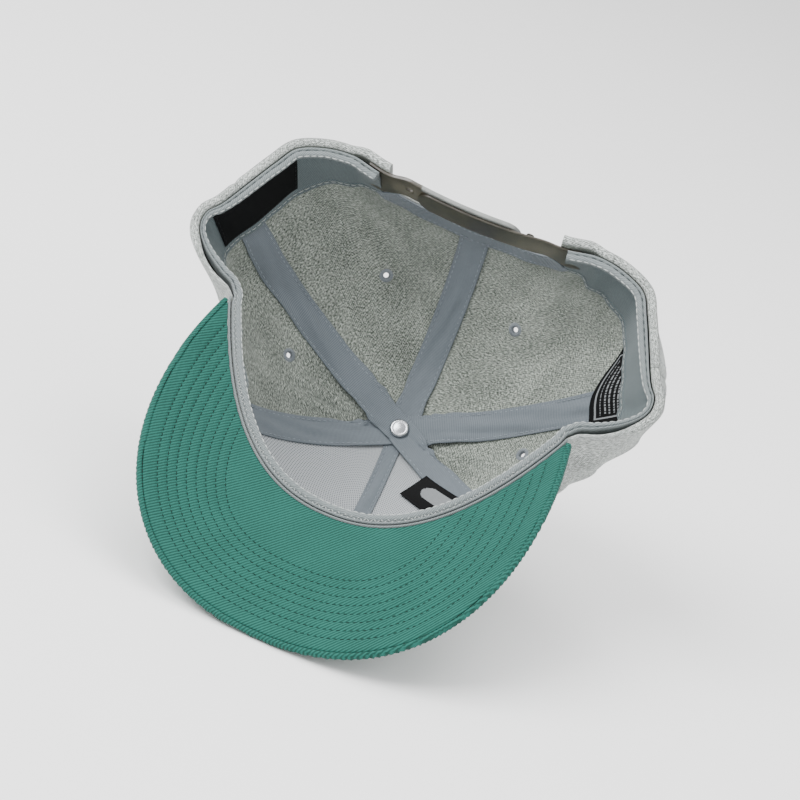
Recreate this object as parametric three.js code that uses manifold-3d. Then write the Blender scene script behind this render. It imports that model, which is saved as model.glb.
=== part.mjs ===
// A snapback cap turned over, resting on the front of its crown and the tip of its peak.
// Lengths are in millimetres. The cap is built in a frame of its own: the rim's plane is z = 0, the crown
// hangs below it, the peak points towards -Y and the wearer's left is -X. The whole cap is tilted at the end.
import * as THREE from 'three';
import { mergeVertices } from 'three/addons/utils/BufferGeometryUtils.js';
import Module from 'manifold-3d';

const wasm = await Module();
wasm.setup();

// Driving dimensions: crown
const rimHalfWidth = 109.2; // middle of the cap to the corners behind the peak, over the cloth
const rimBack = 87; // peak's ends to the back edge of the rim
const crownDepth = 103.5; // rim plane to the cloth over the button
const buttonBack = 8.7; // the button lies this far behind the peak's ends
const clothThickness = 1.6;
const rollThickness = 3; // the turned-in edge of the cloth at the rim
const fit = 0.3; // clearance between pieces that touch on the real cap

// Driving dimensions: peak
const peakEndHalf = 79.4; // middle of the cap to the peak's ends
const peakInset = 72.9; // rim curve, from the peak's ends to its front, on the flat pattern
const peakReach = 67.6; // rim curve's front to the tip, on the flat pattern
const peakHalfWidth = 87.2; // on the flat pattern
const peakShoulder = 35; // the widest place lies this far behind the rim curve's front
const peakBend = 160; // radius of the sideways bend
const peakPitch = 21.3; // degrees between the peak and the rim's plane
const underCoverThickness = 1;
const upperCoverThickness = 2.2; // cloth over a stiff board
const lipWidth = 1.7; // the strip of the upper cover that wraps round the edge
const restFlattening = 1.6; // how far the crown's front is pressed in where it rests

// Driving dimensions: sweatband and trimmings
const bandDepth = 29;
const bandThickness = 1.2;
const edgeRollWidth = 4.6;
const edgeRollHeight = 5;
const stiffenerThickness = 0.6;
const tapeThickness = 0.6;
const tapeWidth = 14;
const frontTapeWidth = 8;
const archHalfWidth = 41;
const archHeight = 41;
const archRoundness = 0.77; // 1 is an ellipse, less is squarer
const bindingWidth = 8;
const bindingThickness = 0.9;
const eyeletRadius = 3.4;
const eyeletHole = 1.5;
const buttonRadius = 7.2;
const buttonHeight = 4;
const rivetRadius = 5;
const rivetHeight = 1.6;
const shankRadius = 1.6;

// Driving dimensions: closure and labels
const strapHeight = 20;
const strapThickness = 1.2;
const strapTop = 0.5; // the straps lie this far below the rim
const strapTab = 9; // the part sewn in between the cloth and the sweatband
const strapLean = 7; // degrees: the straps' top edges lie further in than their lower edges
const strapBow = 3.3; // how far the straps curve in at the middle
const outerFreeEnd = 22.5; // the outer strap's free end, from the middle
const innerFreeEnd = -26;
const firstPeg = -21;
const pegPitch = 9.5;
const pegStandOut = 0.8;
const pegCount = 6;
const pegRadius = 1.8;
const pegHoleRadius = 2.2;
const labelThickness = 0.5;
const labelSeat = 0.5; // the sweatband's label stands this far off the band

// Places of the labels: directions from the button, and shares of bandDepth or from the button to the rim
const bandLabel = { from: -130, to: -105, high: 0.24, low: 0.9 };
const frontLabelCorners = [
  { azimuth: 41, share: 0.14 },
  { azimuth: 60, share: 0.3 },
  { azimuth: 48, share: 0.33 },
  { azimuth: 26, share: 0.21 },
];
const careLabel = { from: 103, to: 122, low: 0.4, high: 0.7 };

const degree = Math.PI / 180;
const lerp = THREE.MathUtils.lerp;
const pitch = peakPitch * degree;

// Back half of the rim, over the cloth: shares of rimHalfWidth and rimBack
const rimRows = [
  { across: 0.757, back: 0.03 },
  { across: 0.8, back: 0.048 },
  { across: 0.859, back: 0.087 },
  { across: 0.92, back: 0.143 },
  { across: 0.978, back: 0.226 },
  { across: 1.0, back: 0.305 },
  { across: 0.99, back: 0.39 },
  { across: 0.954, back: 0.454 },
  { across: 0.892, back: 0.623 },
  { across: 0.839, back: 0.768 },
  { across: 0.781, back: 0.899 },
  { across: 0.663, back: 0.975 },
  { across: 0.531, back: 1.0 },
  { across: 0.375, back: 0.966 },
  { across: 0.0, back: 0.985 },
];

// The crown's profile at each direction from the button: how far it bulges as a share of rimHalfWidth,
// how deep the bulge lies as a share of crownDepth, and the roundness of the dome below it
const profileRows = [
  { azimuth: 0, reach: 0.797, depth: 0.17, fullness: 2.05 },
  { azimuth: 30, reach: 0.77, depth: 0.2, fullness: 2.05 },
  { azimuth: 60, reach: 0.751, depth: 0.29, fullness: 2.0 },
  { azimuth: 72, reach: 0.753, depth: 0.32, fullness: 1.9 },
  { azimuth: 80, reach: 0.785, depth: 0.32, fullness: 1.7 },
  { azimuth: 88, reach: 0.86, depth: 0.31, fullness: 1.5 },
  { azimuth: 97, reach: 0.945, depth: 0.25, fullness: 1.45 },
  { azimuth: 104, reach: 1.01, depth: 0.17, fullness: 1.42 },
  { azimuth: 112, reach: 1.01, depth: 0.14, fullness: 1.4 },
  { azimuth: 122, reach: 1.005, depth: 0.12, fullness: 1.42 },
  { azimuth: 129, reach: 1.012, depth: 0.12, fullness: 1.45 },
  { azimuth: 136, reach: 0.97, depth: 0.14, fullness: 1.55 },
  { azimuth: 143, reach: 0.893, depth: 0.24, fullness: 1.62 },
  { azimuth: 151, reach: 0.82, depth: 0.37, fullness: 1.6 },
  { azimuth: 165, reach: 0.79, depth: 0.39, fullness: 1.75 },
  { azimuth: 180, reach: 0.768, depth: 0.39, fullness: 1.85 },
];

// Soft folds: centre, direction and half sizes in degrees round the crown and shares from button to rim,
// and the depth of the fold as a share of rimHalfWidth
const foldRows = [
  { azimuth: -86, share: 0.72, turn: 0, length: 0.26, width: 10, depth: 0.072 },
  { azimuth: 101, share: 0.72, turn: 0, length: 0.25, width: 18, depth: -0.03 },
  { azimuth: -96, share: 0.62, turn: 24, length: 0.2, width: 6, depth: 0.03 },
  { azimuth: -84, share: 0.55, turn: 24, length: 0.18, width: 7, depth: -0.02 },
  { azimuth: 92, share: 0.66, turn: -20, length: 0.18, width: 7, depth: 0.022 },
  { azimuth: 138, share: 0.58, turn: 12, length: 0.2, width: 8, depth: 0.018 },
  { azimuth: -140, share: 0.6, turn: -10, length: 0.2, width: 8, depth: 0.018 },
];

// The sweatband's lower hem at each direction from the button: its distance as a share of rimHalfWidth
const hemRows = [
  { azimuth: 0, reach: 0.717 },
  { azimuth: 30, reach: 0.68 },
  { azimuth: 60, reach: 0.645 },
  { azimuth: 80, reach: 0.68 },
  { azimuth: 88, reach: 0.74 },
  { azimuth: 95, reach: 0.845 },
  { azimuth: 102, reach: 0.895 },
  { azimuth: 115, reach: 0.88 },
  { azimuth: 128, reach: 0.915 },
  { azimuth: 136, reach: 0.895 },
  { azimuth: 143, reach: 0.85 },
  { azimuth: 152, reach: 0.77 },
  { azimuth: 180, reach: 0.74 },
];

const wrap = (azimuth) => THREE.MathUtils.euclideanModulo(azimuth + 180, 360) - 180;
const polar = (azimuth, radius, z) =>
  new THREE.Vector3(radius * Math.sin(azimuth * degree), buttonBack - radius * Math.cos(azimuth * degree), z);

const seam = { front: 3, frontRight: 60, backRight: 110, back: 180, backLeft: -112, frontLeft: -60 };
const domeShare = 0.72; // this share of each profile is dome, the rest runs from the bulge up to the rim
const azimuthStep = 10;
const columnBefore = (azimuth) => Math.floor(azimuth / azimuthStep) * azimuthStep;
const columnAfter = (azimuth) => Math.ceil(azimuth / azimuthStep) * azimuthStep;
const shareStations = [0.007, 0.1, 0.2, 0.3, 0.4, 0.5, 0.6, 0.7, 0.79, 0.88, 1];

// Directions at which every layer of the crown has its columns, closer at the corners behind the peak
function azimuthColumns(from, to) {
  const columns = [from];
  for (let azimuth = -180; azimuth < 360; azimuth += azimuthStep / 2) {
    const whole = Math.abs(azimuth % azimuthStep) < 0.01;
    const corner = Math.abs(wrap(azimuth)) > 80 && Math.abs(wrap(azimuth)) < 108;
    if ((whole || corner) && azimuth > from + 0.5 && azimuth < to - 0.5) columns.push(azimuth);
  }
  columns.push(to);
  return columns;
}

const endArc = peakBend * Math.asin(peakEndHalf / peakBend);
const bendRise = (across) => peakBend * (1 - Math.cos(across / peakBend));

// A point of the peak from its flat pattern, raised by lift from the face that shows
function peakPoint(across, forward, lift) {
  const turn = across / peakBend;
  const along = forward + peakInset;
  const rise = bendRise(across) - bendRise(endArc) + lift * Math.cos(turn);
  return new THREE.Vector3(
    peakBend * Math.sin(turn) - lift * Math.sin(turn),
    rise * Math.sin(pitch) - along * Math.cos(pitch),
    along * Math.sin(pitch) + rise * Math.cos(pitch),
  );
}

const rimCurveForward = (across) => -peakInset * Math.abs(across / endArc) ** 2.29;

// The peak's outer edge on the flat pattern, from the middle (0) to its end (1)
function peakOutline(share) {
  const shoulder = 0.7;
  const side = Math.sign(share);
  const along = Math.abs(share);
  if (along < shoulder) {
    const turn = (Math.PI / 2) * (1 - along / shoulder);
    return {
      across: side * peakHalfWidth * Math.cos(turn) ** 0.83,
      forward: lerp(-peakShoulder, peakReach, Math.sin(turn) ** 0.83),
    };
  }
  const back = (along - shoulder) / (1 - shoulder);
  return {
    across: side * lerp(peakHalfWidth, endArc, back ** 1.67),
    forward: lerp(-peakShoulder, -peakInset, back),
  };
}

// The rim over the cloth as distance and height at each direction from the button; 0 is the front
function measureRim() {
  const points = [];
  const frontSteps = 60;
  for (let i = 0; i <= frontSteps; i++) {
    const across = (endArc * i) / frontSteps;
    points.push(peakPoint(across, rimCurveForward(across), 0));
  }
  const back = rimRows.map((row) => new THREE.Vector3(row.across * rimHalfWidth, row.back * rimBack, 0));
  const curve = new THREE.CatmullRomCurve3([points[frontSteps], ...back], false, 'centripetal');
  points.push(...curve.getPoints(150).slice(1));
  return points.map((p, i) => ({
    azimuth: Math.atan2(p.x, buttonBack - p.y) / degree,
    radius: Math.hypot(p.x, p.y - buttonBack) - (i <= frontSteps ? fit + 0.1 : 0),
    height: p.z,
  }));
}
const rim = measureRim();

// Reads a table of rows at a direction, smoothly between its rows
function readRows(rows, key, azimuth) {
  const at = Math.abs(wrap(azimuth));
  const next = Math.max(1, rows.findIndex((row) => row.azimuth >= at));
  const low = rows[next - 1];
  const high = rows[next];
  const share = THREE.MathUtils.clamp((at - low.azimuth) / (high.azimuth - low.azimuth), 0, 1);
  return lerp(low[key], high[key], share * share * (3 - 2 * share));
}

function readRim(azimuth) {
  const at = Math.min(Math.abs(wrap(azimuth)), 179.99);
  const next = Math.max(1, rim.findIndex((row) => row.azimuth >= at));
  const low = rim[next - 1];
  const high = rim[next];
  const share = (at - low.azimuth) / (high.azimuth - low.azimuth);
  return { radius: lerp(low.radius, high.radius, share), height: lerp(low.height, high.height, share) };
}

function foldAt(azimuth, share) {
  return foldRows.reduce((sum, fold) => {
    const round = wrap(azimuth - fold.azimuth - (fold.turn * (share - fold.share)) / fold.length);
    const across = round / fold.width;
    const along = (share - fold.share) / fold.length;
    return sum + fold.depth * rimHalfWidth * Math.exp(-across * across - along * along);
  }, 0);
}

// The crown's outer surface as it is worn: azimuth round the button, share from the button to the rim
function crownForm(azimuth, share) {
  const edge = readRim(azimuth);
  const reach = readRows(profileRows, 'reach', azimuth) * rimHalfWidth;
  const depth = readRows(profileRows, 'depth', azimuth) * crownDepth;
  const fullness = readRows(profileRows, 'fullness', azimuth);
  if (share < domeShare) {
    const spread = Math.sin(((share / domeShare) * Math.PI) / 2);
    const drop = (1 - spread ** fullness) ** (1 / fullness);
    return polar(azimuth, reach * spread - foldAt(azimuth, share), -depth - (crownDepth - depth) * drop);
  }
  const rise = (share - domeShare) / (1 - domeShare);
  const pull = rise * rise * (3 - 2 * rise);
  const calm = 1 - rise;
  const radius = lerp(reach, edge.radius, pull) - foldAt(azimuth, share) * calm;
  return polar(azimuth, radius, lerp(-depth, edge.height, rise));
}

// How the cap rests by itself: tipped forward until the tip of its peak and the crown's front touch the floor
const heightAt = (point, tilt) => point.y * Math.sin(tilt) + point.z * Math.cos(tilt);
const peakThickness = underCoverThickness + fit + upperCoverThickness;
const tipPoint = peakPoint(0, peakReach, -peakThickness);

function crownLow(tilt) {
  let low = Infinity;
  for (let azimuth = -40; azimuth <= 40; azimuth += 4) {
    for (let share = 0.1; share < 0.9; share += 0.02) {
      low = Math.min(low, heightAt(crownForm(azimuth, share), tilt));
    }
  }
  return low;
}

function findRestTilt() {
  let low = 10 * degree;
  let high = 80 * degree;
  for (let i = 0; i < 30; i++) {
    const tilt = (low + high) / 2;
    if (heightAt(tipPoint, tilt) > crownLow(tilt) + restFlattening) low = tilt;
    else high = tilt;
  }
  return (low + high) / 2;
}
const restTilt = findRestTilt();
const floorHeight = heightAt(tipPoint, restTilt);
const upward = new THREE.Vector3(0, Math.sin(restTilt), Math.cos(restTilt));

// The crown's outer surface, flattened where it rests
function crownPoint(azimuth, share) {
  const point = crownForm(azimuth, share);
  const sunk = floorHeight - point.dot(upward);
  return sunk > 0 ? point.addScaledVector(upward, sunk) : point;
}

// The direction into the crown, square to the cloth, and straight up at the button
const calmShare = 0.13;
function crownNormal(azimuth, share) {
  const low = Math.max(share - 0.01, 0.004);
  const high = Math.min(share + 0.01, 1);
  const along = crownPoint(azimuth, high).sub(crownPoint(azimuth, low));
  const round = crownPoint(azimuth + 1, share).sub(crownPoint(azimuth - 1, share));
  const normal = along.cross(round).normalize();
  const calm = 1 - THREE.MathUtils.smoothstep(share, 0, calmShare);
  return normal.lerp(new THREE.Vector3(0, 0, 1), calm).normalize();
}

// A point at a depth inside the crown's outer surface
function insideCrown(azimuth, share, depth) {
  return crownPoint(azimuth, share).addScaledVector(crownNormal(azimuth, share), depth);
}

function signedVolume(positions, faces) {
  const [a, b, c] = [new THREE.Vector3(), new THREE.Vector3(), new THREE.Vector3()];
  let sum = 0;
  for (const face of faces) {
    a.copy(positions[face[0]]);
    b.copy(positions[face[1]]);
    c.copy(positions[face[2]]);
    sum += a.dot(b.cross(c)) / 6;
  }
  return sum;
}

// A closed geometry from points and triangles, turned so that its faces point out
function closedGeometry(positions, faces) {
  const inwards = signedVolume(positions, faces) < 0;
  const order = inwards ? faces.map(([a, b, c]) => [a, c, b]) : faces;
  const geometry = new THREE.BufferGeometry();
  geometry.setAttribute('position', new THREE.Float32BufferAttribute(positions.flatMap((p) => p.toArray()), 3));
  geometry.setIndex(order.flat());
  return geometry;
}

// The solid between two grids of points with the same rows and columns
function slab(near, far, closedRound = false) {
  const rows = near.length;
  const columns = near[0].length;
  const positions = [...near.flat(), ...far.flat()];
  const faces = [];
  const at = (side, row, column) => side * rows * columns + row * columns + (column % columns);
  const quad = (a, b, c, d) => faces.push([a, b, c], [a, c, d]);
  const lastColumn = closedRound ? columns : columns - 1;
  for (let row = 0; row < rows - 1; row++) {
    for (let column = 0; column < lastColumn; column++) {
      const next = column + 1;
      quad(at(0, row, column), at(0, row, next), at(0, row + 1, next), at(0, row + 1, column));
      quad(at(1, row, column), at(1, row + 1, column), at(1, row + 1, next), at(1, row, next));
    }
    if (!closedRound) {
      quad(at(0, row, 0), at(0, row + 1, 0), at(1, row + 1, 0), at(1, row, 0));
      quad(at(0, row, lastColumn), at(1, row, lastColumn), at(1, row + 1, lastColumn), at(0, row + 1, lastColumn));
    }
  }
  for (let column = 0; column < lastColumn; column++) {
    const next = column + 1;
    const last = rows - 1;
    quad(at(0, 0, column), at(1, 0, column), at(1, 0, next), at(0, 0, next));
    quad(at(0, last, column), at(0, last, next), at(1, last, next), at(1, last, column));
  }
  return closedGeometry(positions, faces);
}

// A point at a depth on the crown's facets, between its columns and rows
function onFacets(azimuth, share, depth) {
  const left = columnBefore(azimuth);
  const next = shareStations.findIndex((station) => station >= share);
  const rows = [shareStations[next - 1], shareStations[next]];
  const across = (azimuth - left) / azimuthStep;
  const along = (share - rows[0]) / (rows[1] - rows[0]);
  const [low, high] = rows.map((row) =>
    insideCrown(left, row, depth).lerp(insideCrown(left + azimuthStep, row, depth), across));
  return low.lerp(high, along);
}

// A layer of cloth at two depths inside the crown, all the way round
function crownLayer(nearDepth, farDepth, toShare = 1) {
  const columns = azimuthColumns(-180, 180).slice(0, -1);
  const rows = [...shareStations.filter((share) => share < toShare - 0.01), toShare];
  const grid = (depth) =>
    rows.map((share) => columns.map((azimuth) => insideCrown(azimuth, share, depth(azimuth, share))));
  return toSolid(slab(grid(nearDepth), grid(farDepth), true));
}

// A sheet over a part of the crown, with the same columns as the crown; near is a depth at each place
function crownSheet(fromAzimuth, toAzimuth, fromShare, toShare, near, thickness) {
  const columns = azimuthColumns(fromAzimuth, toAzimuth);
  const inner = shareStations.filter((share) => share > fromShare + 0.01 && share < toShare - 0.01);
  const rows = [fromShare, ...inner, toShare];
  const grid = (added) => rows.map((share) =>
    columns.map((azimuth) => insideCrown(azimuth, share, near(azimuth, share) + added)));
  return toSolid(slab(grid(0), grid(thickness)));
}

function toSolid(geometry) {
  const bare = geometry.clone();
  bare.deleteAttribute('normal');
  bare.deleteAttribute('uv');
  const merged = mergeVertices(bare, 1e-4);
  const vertProperties = new Float32Array(merged.attributes.position.array);
  const triVerts = new Uint32Array(merged.index.array);
  return new wasm.Manifold(new wasm.Mesh({ numProp: 3, vertProperties, triVerts }));
}

function toGeometry(solid) {
  const mesh = solid.getMesh();
  const geometry = new THREE.BufferGeometry();
  geometry.setAttribute('position', new THREE.Float32BufferAttribute(mesh.vertProperties, 3));
  geometry.setIndex(Array.from(mesh.triVerts));
  return geometry;
}

const cutReach = 200; // cutting shapes reach this far, past every piece

// An upright prism over an outline in plan
function prism(outline, low, high) {
  const shape = new THREE.Shape(outline);
  return new THREE.ExtrudeGeometry(shape, { depth: high - low, bevelEnabled: false }).translate(0, 0, low);
}

// The space between two seams, kept back from both by half a clearance
function seamWedge(from, to) {
  const half = ((to - from) / 2) * degree;
  const middle = (from + to) / 2;
  const start = polar(middle, fit / 2 / Math.sin(half), 0);
  const far = [from, middle, to].map((azimuth) => polar(azimuth, cutReach, 0).sub(polar(0, 0, 0)).add(start));
  return toSolid(prism([start, ...far].map((p) => new THREE.Vector2(p.x, p.y)), -cutReach, cutReach / 2));
}

// An upright slab along a seam, from the button outwards
function seamSlab(azimuth, width, start) {
  const box = new THREE.BoxGeometry(width, cutReach, 2 * cutReach);
  box.translate(0, -cutReach / 2 - start, 0).rotateZ(azimuth * degree).translate(0, buttonBack, 0);
  return toSolid(box);
}

// The arch over the back opening, widened by a margin, as a prism through the back of the crown
function archPrism(margin) {
  const outline = [];
  const steps = 22;
  for (let i = 0; i <= steps; i++) {
    const turn = (Math.PI * i) / steps;
    const x = (archHalfWidth + margin) * Math.sign(Math.cos(turn)) * Math.abs(Math.cos(turn)) ** archRoundness;
    const z = -(archHeight + margin) * Math.sin(turn) ** archRoundness;
    outline.push(new THREE.Vector2(x, z));
  }
  const top = cutReach / 10;
  outline.push(new THREE.Vector2(-archHalfWidth - margin, top), new THREE.Vector2(archHalfWidth + margin, top));
  return toSolid(prism(outline, 0, cutReach).rotateX(Math.PI / 2).translate(0, cutReach, 0));
}
const behindButton = toSolid(new THREE.BoxGeometry(2 * cutReach, cutReach, 2 * cutReach)
  .translate(0, cutReach / 2 + buttonBack + 20, 0));

const shankHole = toSolid(new THREE.CylinderGeometry(shankRadius + fit, shankRadius + fit, 60, 16)
  .rotateX(Math.PI / 2).translate(0, buttonBack, -crownDepth));

// The eyelets stand square on the cloth
const eyeletRows = [
  { name: 'side_left', azimuth: -94, share: 0.288 },
  { name: 'side_right', azimuth: 94, share: 0.288 },
  { name: 'back_left', azimuth: -150, share: 0.387 },
  { name: 'back_right', azimuth: 151, share: 0.387 },
];

function onCloth(geometry, row) {
  const normal = crownNormal(row.azimuth, row.share);
  const turn = new THREE.Quaternion().setFromUnitVectors(new THREE.Vector3(0, 1, 0), normal);
  const middle = insideCrown(row.azimuth, row.share, clothThickness / 2);
  return geometry.applyQuaternion(turn).translate(middle.x, middle.y, middle.z);
}

function lathe(profile, sides) {
  const points = profile.map(([radius, height]) => new THREE.Vector2(radius, height));
  return new THREE.LatheGeometry(points, sides);
}

function eyeletRing(row) {
  const half = clothThickness / 2 + 0.5;
  const ring = [
    [eyeletHole, -half + 0.3],
    [eyeletRadius, -half],
    [eyeletRadius, half],
    [eyeletHole, half - 0.3],
    [eyeletHole, -half + 0.3],
  ];
  return onCloth(lathe(ring, 10), row);
}
const eyeletHoles = eyeletRows.map((row) =>
  toSolid(onCloth(new THREE.CylinderGeometry(eyeletRadius + fit, eyeletRadius + fit, 14, 12), row)));

const liningEnd = 0.88; // stiffeners and tapes end at this share, where the cloth's turned edge begins

// Crown cloth: thicker where its edge is turned in, but not at the peak nor beside the back opening
const openingAzimuth = 143;
function clothDepth(azimuth, share) {
  const turned = THREE.MathUtils.smoothstep(Math.abs(azimuth), 88, 96)
    * (1 - THREE.MathUtils.smoothstep(Math.abs(azimuth), openingAzimuth - 6, openingAzimuth));
  const atEdge = THREE.MathUtils.smoothstep(share, liningEnd, 0.95);
  return lerp(clothThickness, rollThickness, turned * atEdge);
}

const finish = (color, roughness, metalness = 0) => new THREE.MeshStandardMaterial({ color, roughness, metalness });
const finishes = {
  heather: () => finish('#a9aeaa', 0.95),
  buckram: () => finish('#cdd0d4', 0.9),
  tape: () => finish('#7d858a', 0.75),
  band: () => finish('#969ea0', 0.7),
  green: () => finish('#2f7d68', 0.9),
  plastic: () => finish('#6f6f69', 0.35),
  metal: () => finish('#c9ccd0', 0.2, 1),
  thread: () => finish('#9da3a1', 0.8),
  label: () => finish('#151618', 0.7),
};

const cap = new THREE.Group();
cap.name = 'cap';

function addPiece(name, geometry, material) {
  const mesh = new THREE.Mesh(geometry, material);
  mesh.name = name;
  cap.add(mesh);
}

// Crown panels
const panelRows = [
  { name: 'front_right_panel', from: seam.front, to: seam.frontRight },
  { name: 'side_right_panel', from: seam.frontRight, to: seam.backRight },
  { name: 'back_right_panel', from: seam.backRight, to: seam.back },
  { name: 'back_left_panel', from: seam.back - 360, to: seam.backLeft },
  { name: 'side_left_panel', from: seam.backLeft, to: seam.frontLeft },
  { name: 'front_left_panel', from: seam.frontLeft, to: seam.front },
];
const arch = archPrism(0).intersect(behindButton);

function makePanels() {
  const cloth = crownLayer(() => 0, clothDepth).subtract(shankHole);
  const pierced = eyeletHoles.reduce((solid, hole) => solid.subtract(hole), cloth).subtract(arch);
  for (const { name, from, to } of panelRows) {
    addPiece(name, toGeometry(pierced.intersect(seamWedge(from, to))), finishes.heather());
  }
}

// Stiffeners behind the front panels, from near the button to just under the sweatband's rolled edge
const stiffenerNear = clothThickness + fit;
const stiffenerFar = stiffenerNear + stiffenerThickness;

function makeStiffeners() {
  const sides = [
    { name: 'front_right', from: seam.front, to: seam.frontRight },
    { name: 'front_left', from: seam.frontLeft, to: seam.front },
  ];
  for (const side of sides) {
    const columns = [columnBefore(side.from), columnAfter(side.to)];
    const whole = crownSheet(...columns, shareStations[0], liningEnd, () => stiffenerNear, stiffenerThickness);
    const piece = whole.intersect(seamWedge(side.from, side.to)).subtract(shankHole);
    addPiece(`${side.name}_stiffener`, toGeometry(piece), finishes.buckram());
  }
}

// Seam tapes: each lies on what is under it, and rises over the tapes that it crosses near the button
const overStiffener = stiffenerFar + fit;
const tapeStep = tapeThickness + fit;
const crossing = { from: 0.1, to: 0.2 }; // shares from the button over which a raised tape comes down

function tapeDepth(level, azimuth, share) {
  const overFront = 1 - THREE.MathUtils.smoothstep(Math.abs(wrap(azimuth)), 66, 84);
  const lowest = lerp(stiffenerNear, overStiffener, overFront);
  const raised = overStiffener + level * tapeStep;
  return lerp(raised, lowest, THREE.MathUtils.smoothstep(share, crossing.from, crossing.to));
}

function tapeLayer(level) {
  const near = (azimuth, share) => tapeDepth(level, azimuth, share);
  const far = (azimuth, share) => near(azimuth, share) + tapeThickness;
  return crownLayer(near, far, liningEnd).subtract(shankHole);
}

function makeTapes() {
  const across = (from, to) => seamSlab(from, tapeWidth, 0).add(seamSlab(to, tapeWidth, 0));
  const under = tapeLayer(0);
  const pieces = {
    seam_tape_front: under.intersect(seamSlab(seam.front, frontTapeWidth, tapeWidth / 2)),
    seam_tape_back: under.intersect(seamSlab(seam.back, tapeWidth, tapeWidth / 2))
      .subtract(archPrism(bindingWidth + fit)),
    seam_tape_middle: tapeLayer(1).intersect(across(seam.frontLeft, seam.backRight)),
    seam_tape_top: tapeLayer(2).intersect(across(seam.backLeft, seam.frontRight)),
  };
  for (const [name, solid] of Object.entries(pieces)) addPiece(name, toGeometry(solid), finishes.tape());
}

// The solid that follows closed sections of points, with its two ends closed
function sweep(sections, outline) {
  const count = outline.length;
  const positions = sections.flat();
  const faces = [];
  for (let i = 0; i < sections.length - 1; i++) {
    for (let j = 0; j < count; j++) {
      const next = (j + 1) % count;
      const [a, b, c, d] = [i * count + j, i * count + next, (i + 1) * count + next, (i + 1) * count + j];
      faces.push([a, b, c], [a, c, d]);
    }
  }
  const clockwise = THREE.ShapeUtils.isClockWise(outline);
  const last = (sections.length - 1) * count;
  for (const [a, b, c] of THREE.ShapeUtils.triangulateShape(outline, [])) {
    const end = [last + a, last + b, last + c];
    if (clockwise) faces.push([a, b, c], [end[0], end[2], end[1]]);
    else faces.push([a, c, b], end);
  }
  return closedGeometry(positions, faces);
}

// The direction at which the rim is this far to the side, behind the peak
function rimDirection(side) {
  const sideOf = (row) => row.radius * Math.sin(row.azimuth * degree);
  const last = rim.findLastIndex((row) => sideOf(row) > side);
  const share = (sideOf(rim[last]) - side) / (sideOf(rim[last]) - sideOf(rim[last + 1]));
  return lerp(rim[last].azimuth, rim[last + 1].azimuth, share);
}

// Sweatband: its outer face keeps room for the turned cloth and for the strap's sewn ends
function bandGap(azimuth) {
  const behindPeak = THREE.MathUtils.smoothstep(Math.abs(azimuth), 80, 90);
  const wide = Math.max(rollThickness + fit, clothThickness + strapThickness + 2 * fit);
  return lerp(clothThickness + fit, wide, behindPeak);
}

function edgePoint(azimuth, inward, down) {
  const point = insideCrown(azimuth, 1, bandGap(azimuth) + inward);
  point.z = readRim(azimuth).height - down;
  return point;
}

const hemPoint = (azimuth, inward) =>
  polar(azimuth, readRows(hemRows, 'reach', azimuth) * rimHalfWidth - inward, readRim(azimuth).height - bandDepth);
const bandMiddle = 0.45;

function bandSection(azimuth) {
  const outerTop = edgePoint(azimuth, 0, edgeRollHeight);
  const innerTop = edgePoint(azimuth, bandThickness, edgeRollHeight + 0.6);
  const outerHem = hemPoint(azimuth, 0);
  const innerHem = hemPoint(azimuth, bandThickness);
  return [
    edgePoint(azimuth, 0.9, 0),
    edgePoint(azimuth, 0, 1.2),
    outerTop,
    outerTop.clone().lerp(outerHem, bandMiddle),
    outerHem,
    innerHem,
    innerTop.clone().lerp(innerHem, bandMiddle),
    innerTop,
    edgePoint(azimuth, edgeRollWidth, edgeRollHeight - 0.9),
    edgePoint(azimuth, edgeRollWidth, 1.3),
    edgePoint(azimuth, edgeRollWidth - 1.2, 0),
  ];
}

const bandOutline = [
  [0.9, 0], [0, 1.2], [0, edgeRollHeight], [0, bandDepth / 2], [0, bandDepth], [bandThickness, bandDepth],
  [bandThickness, bandDepth / 2], [bandThickness, edgeRollHeight + 0.6], [edgeRollWidth, edgeRollHeight - 0.9],
  [edgeRollWidth, 1.3], [edgeRollWidth - 1.2, 0],
].map(([inward, down]) => new THREE.Vector2(inward, -down));

const bandEnd = rimDirection(archHalfWidth + 3);

function makeSweatband() {
  const sections = azimuthColumns(-bandEnd, bandEnd).map(bandSection);
  addPiece('sweatband', sweep(sections, bandOutline), finishes.band());
}

// Binding round the arch, below the strap's sewn ends
const roundArch = { from: 120, to: 240, high: 0.4, low: 0.99 }; // the part of the crown that it is cut from

function makeBinding() {
  const { from, to, high, low } = roundArch;
  const strip = crownSheet(from, to, high, low, () => clothThickness + fit, bindingThickness);
  const ring = archPrism(bindingWidth).subtract(archPrism(0));
  const top = new THREE.BoxGeometry(3 * archHalfWidth, cutReach, 40).translate(0, cutReach / 2, 19 - strapHeight - 1.5);
  addPiece('back_opening_binding', toGeometry(strip.intersect(ring).subtract(toSolid(top))), finishes.tape());
}

// Peak: two covers on the same flat pattern
const peakEnd = 0.985;
const peakColumns = 26;

// Rows of the flat pattern from the rim curve to a distance inside the outer edge
function peakRows(edges) {
  const columns = Array.from({ length: peakColumns + 1 }, (_, i) => peakEnd * ((2 * i) / peakColumns - 1));
  const point = (column, { share, inside, lift }) => {
    const outer = peakOutline(column);
    const across = column * endArc;
    const forward = rimCurveForward(across);
    const length = Math.hypot(outer.across - across, outer.forward - forward);
    const reach = (share ?? 1) * (1 - Math.min(inside / length, 0.8));
    return peakPoint(lerp(across, outer.across, reach), lerp(forward, outer.forward, reach), lift);
  };
  return edges.map((edge) => columns.map((column) => point(column, edge)));
}

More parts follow.
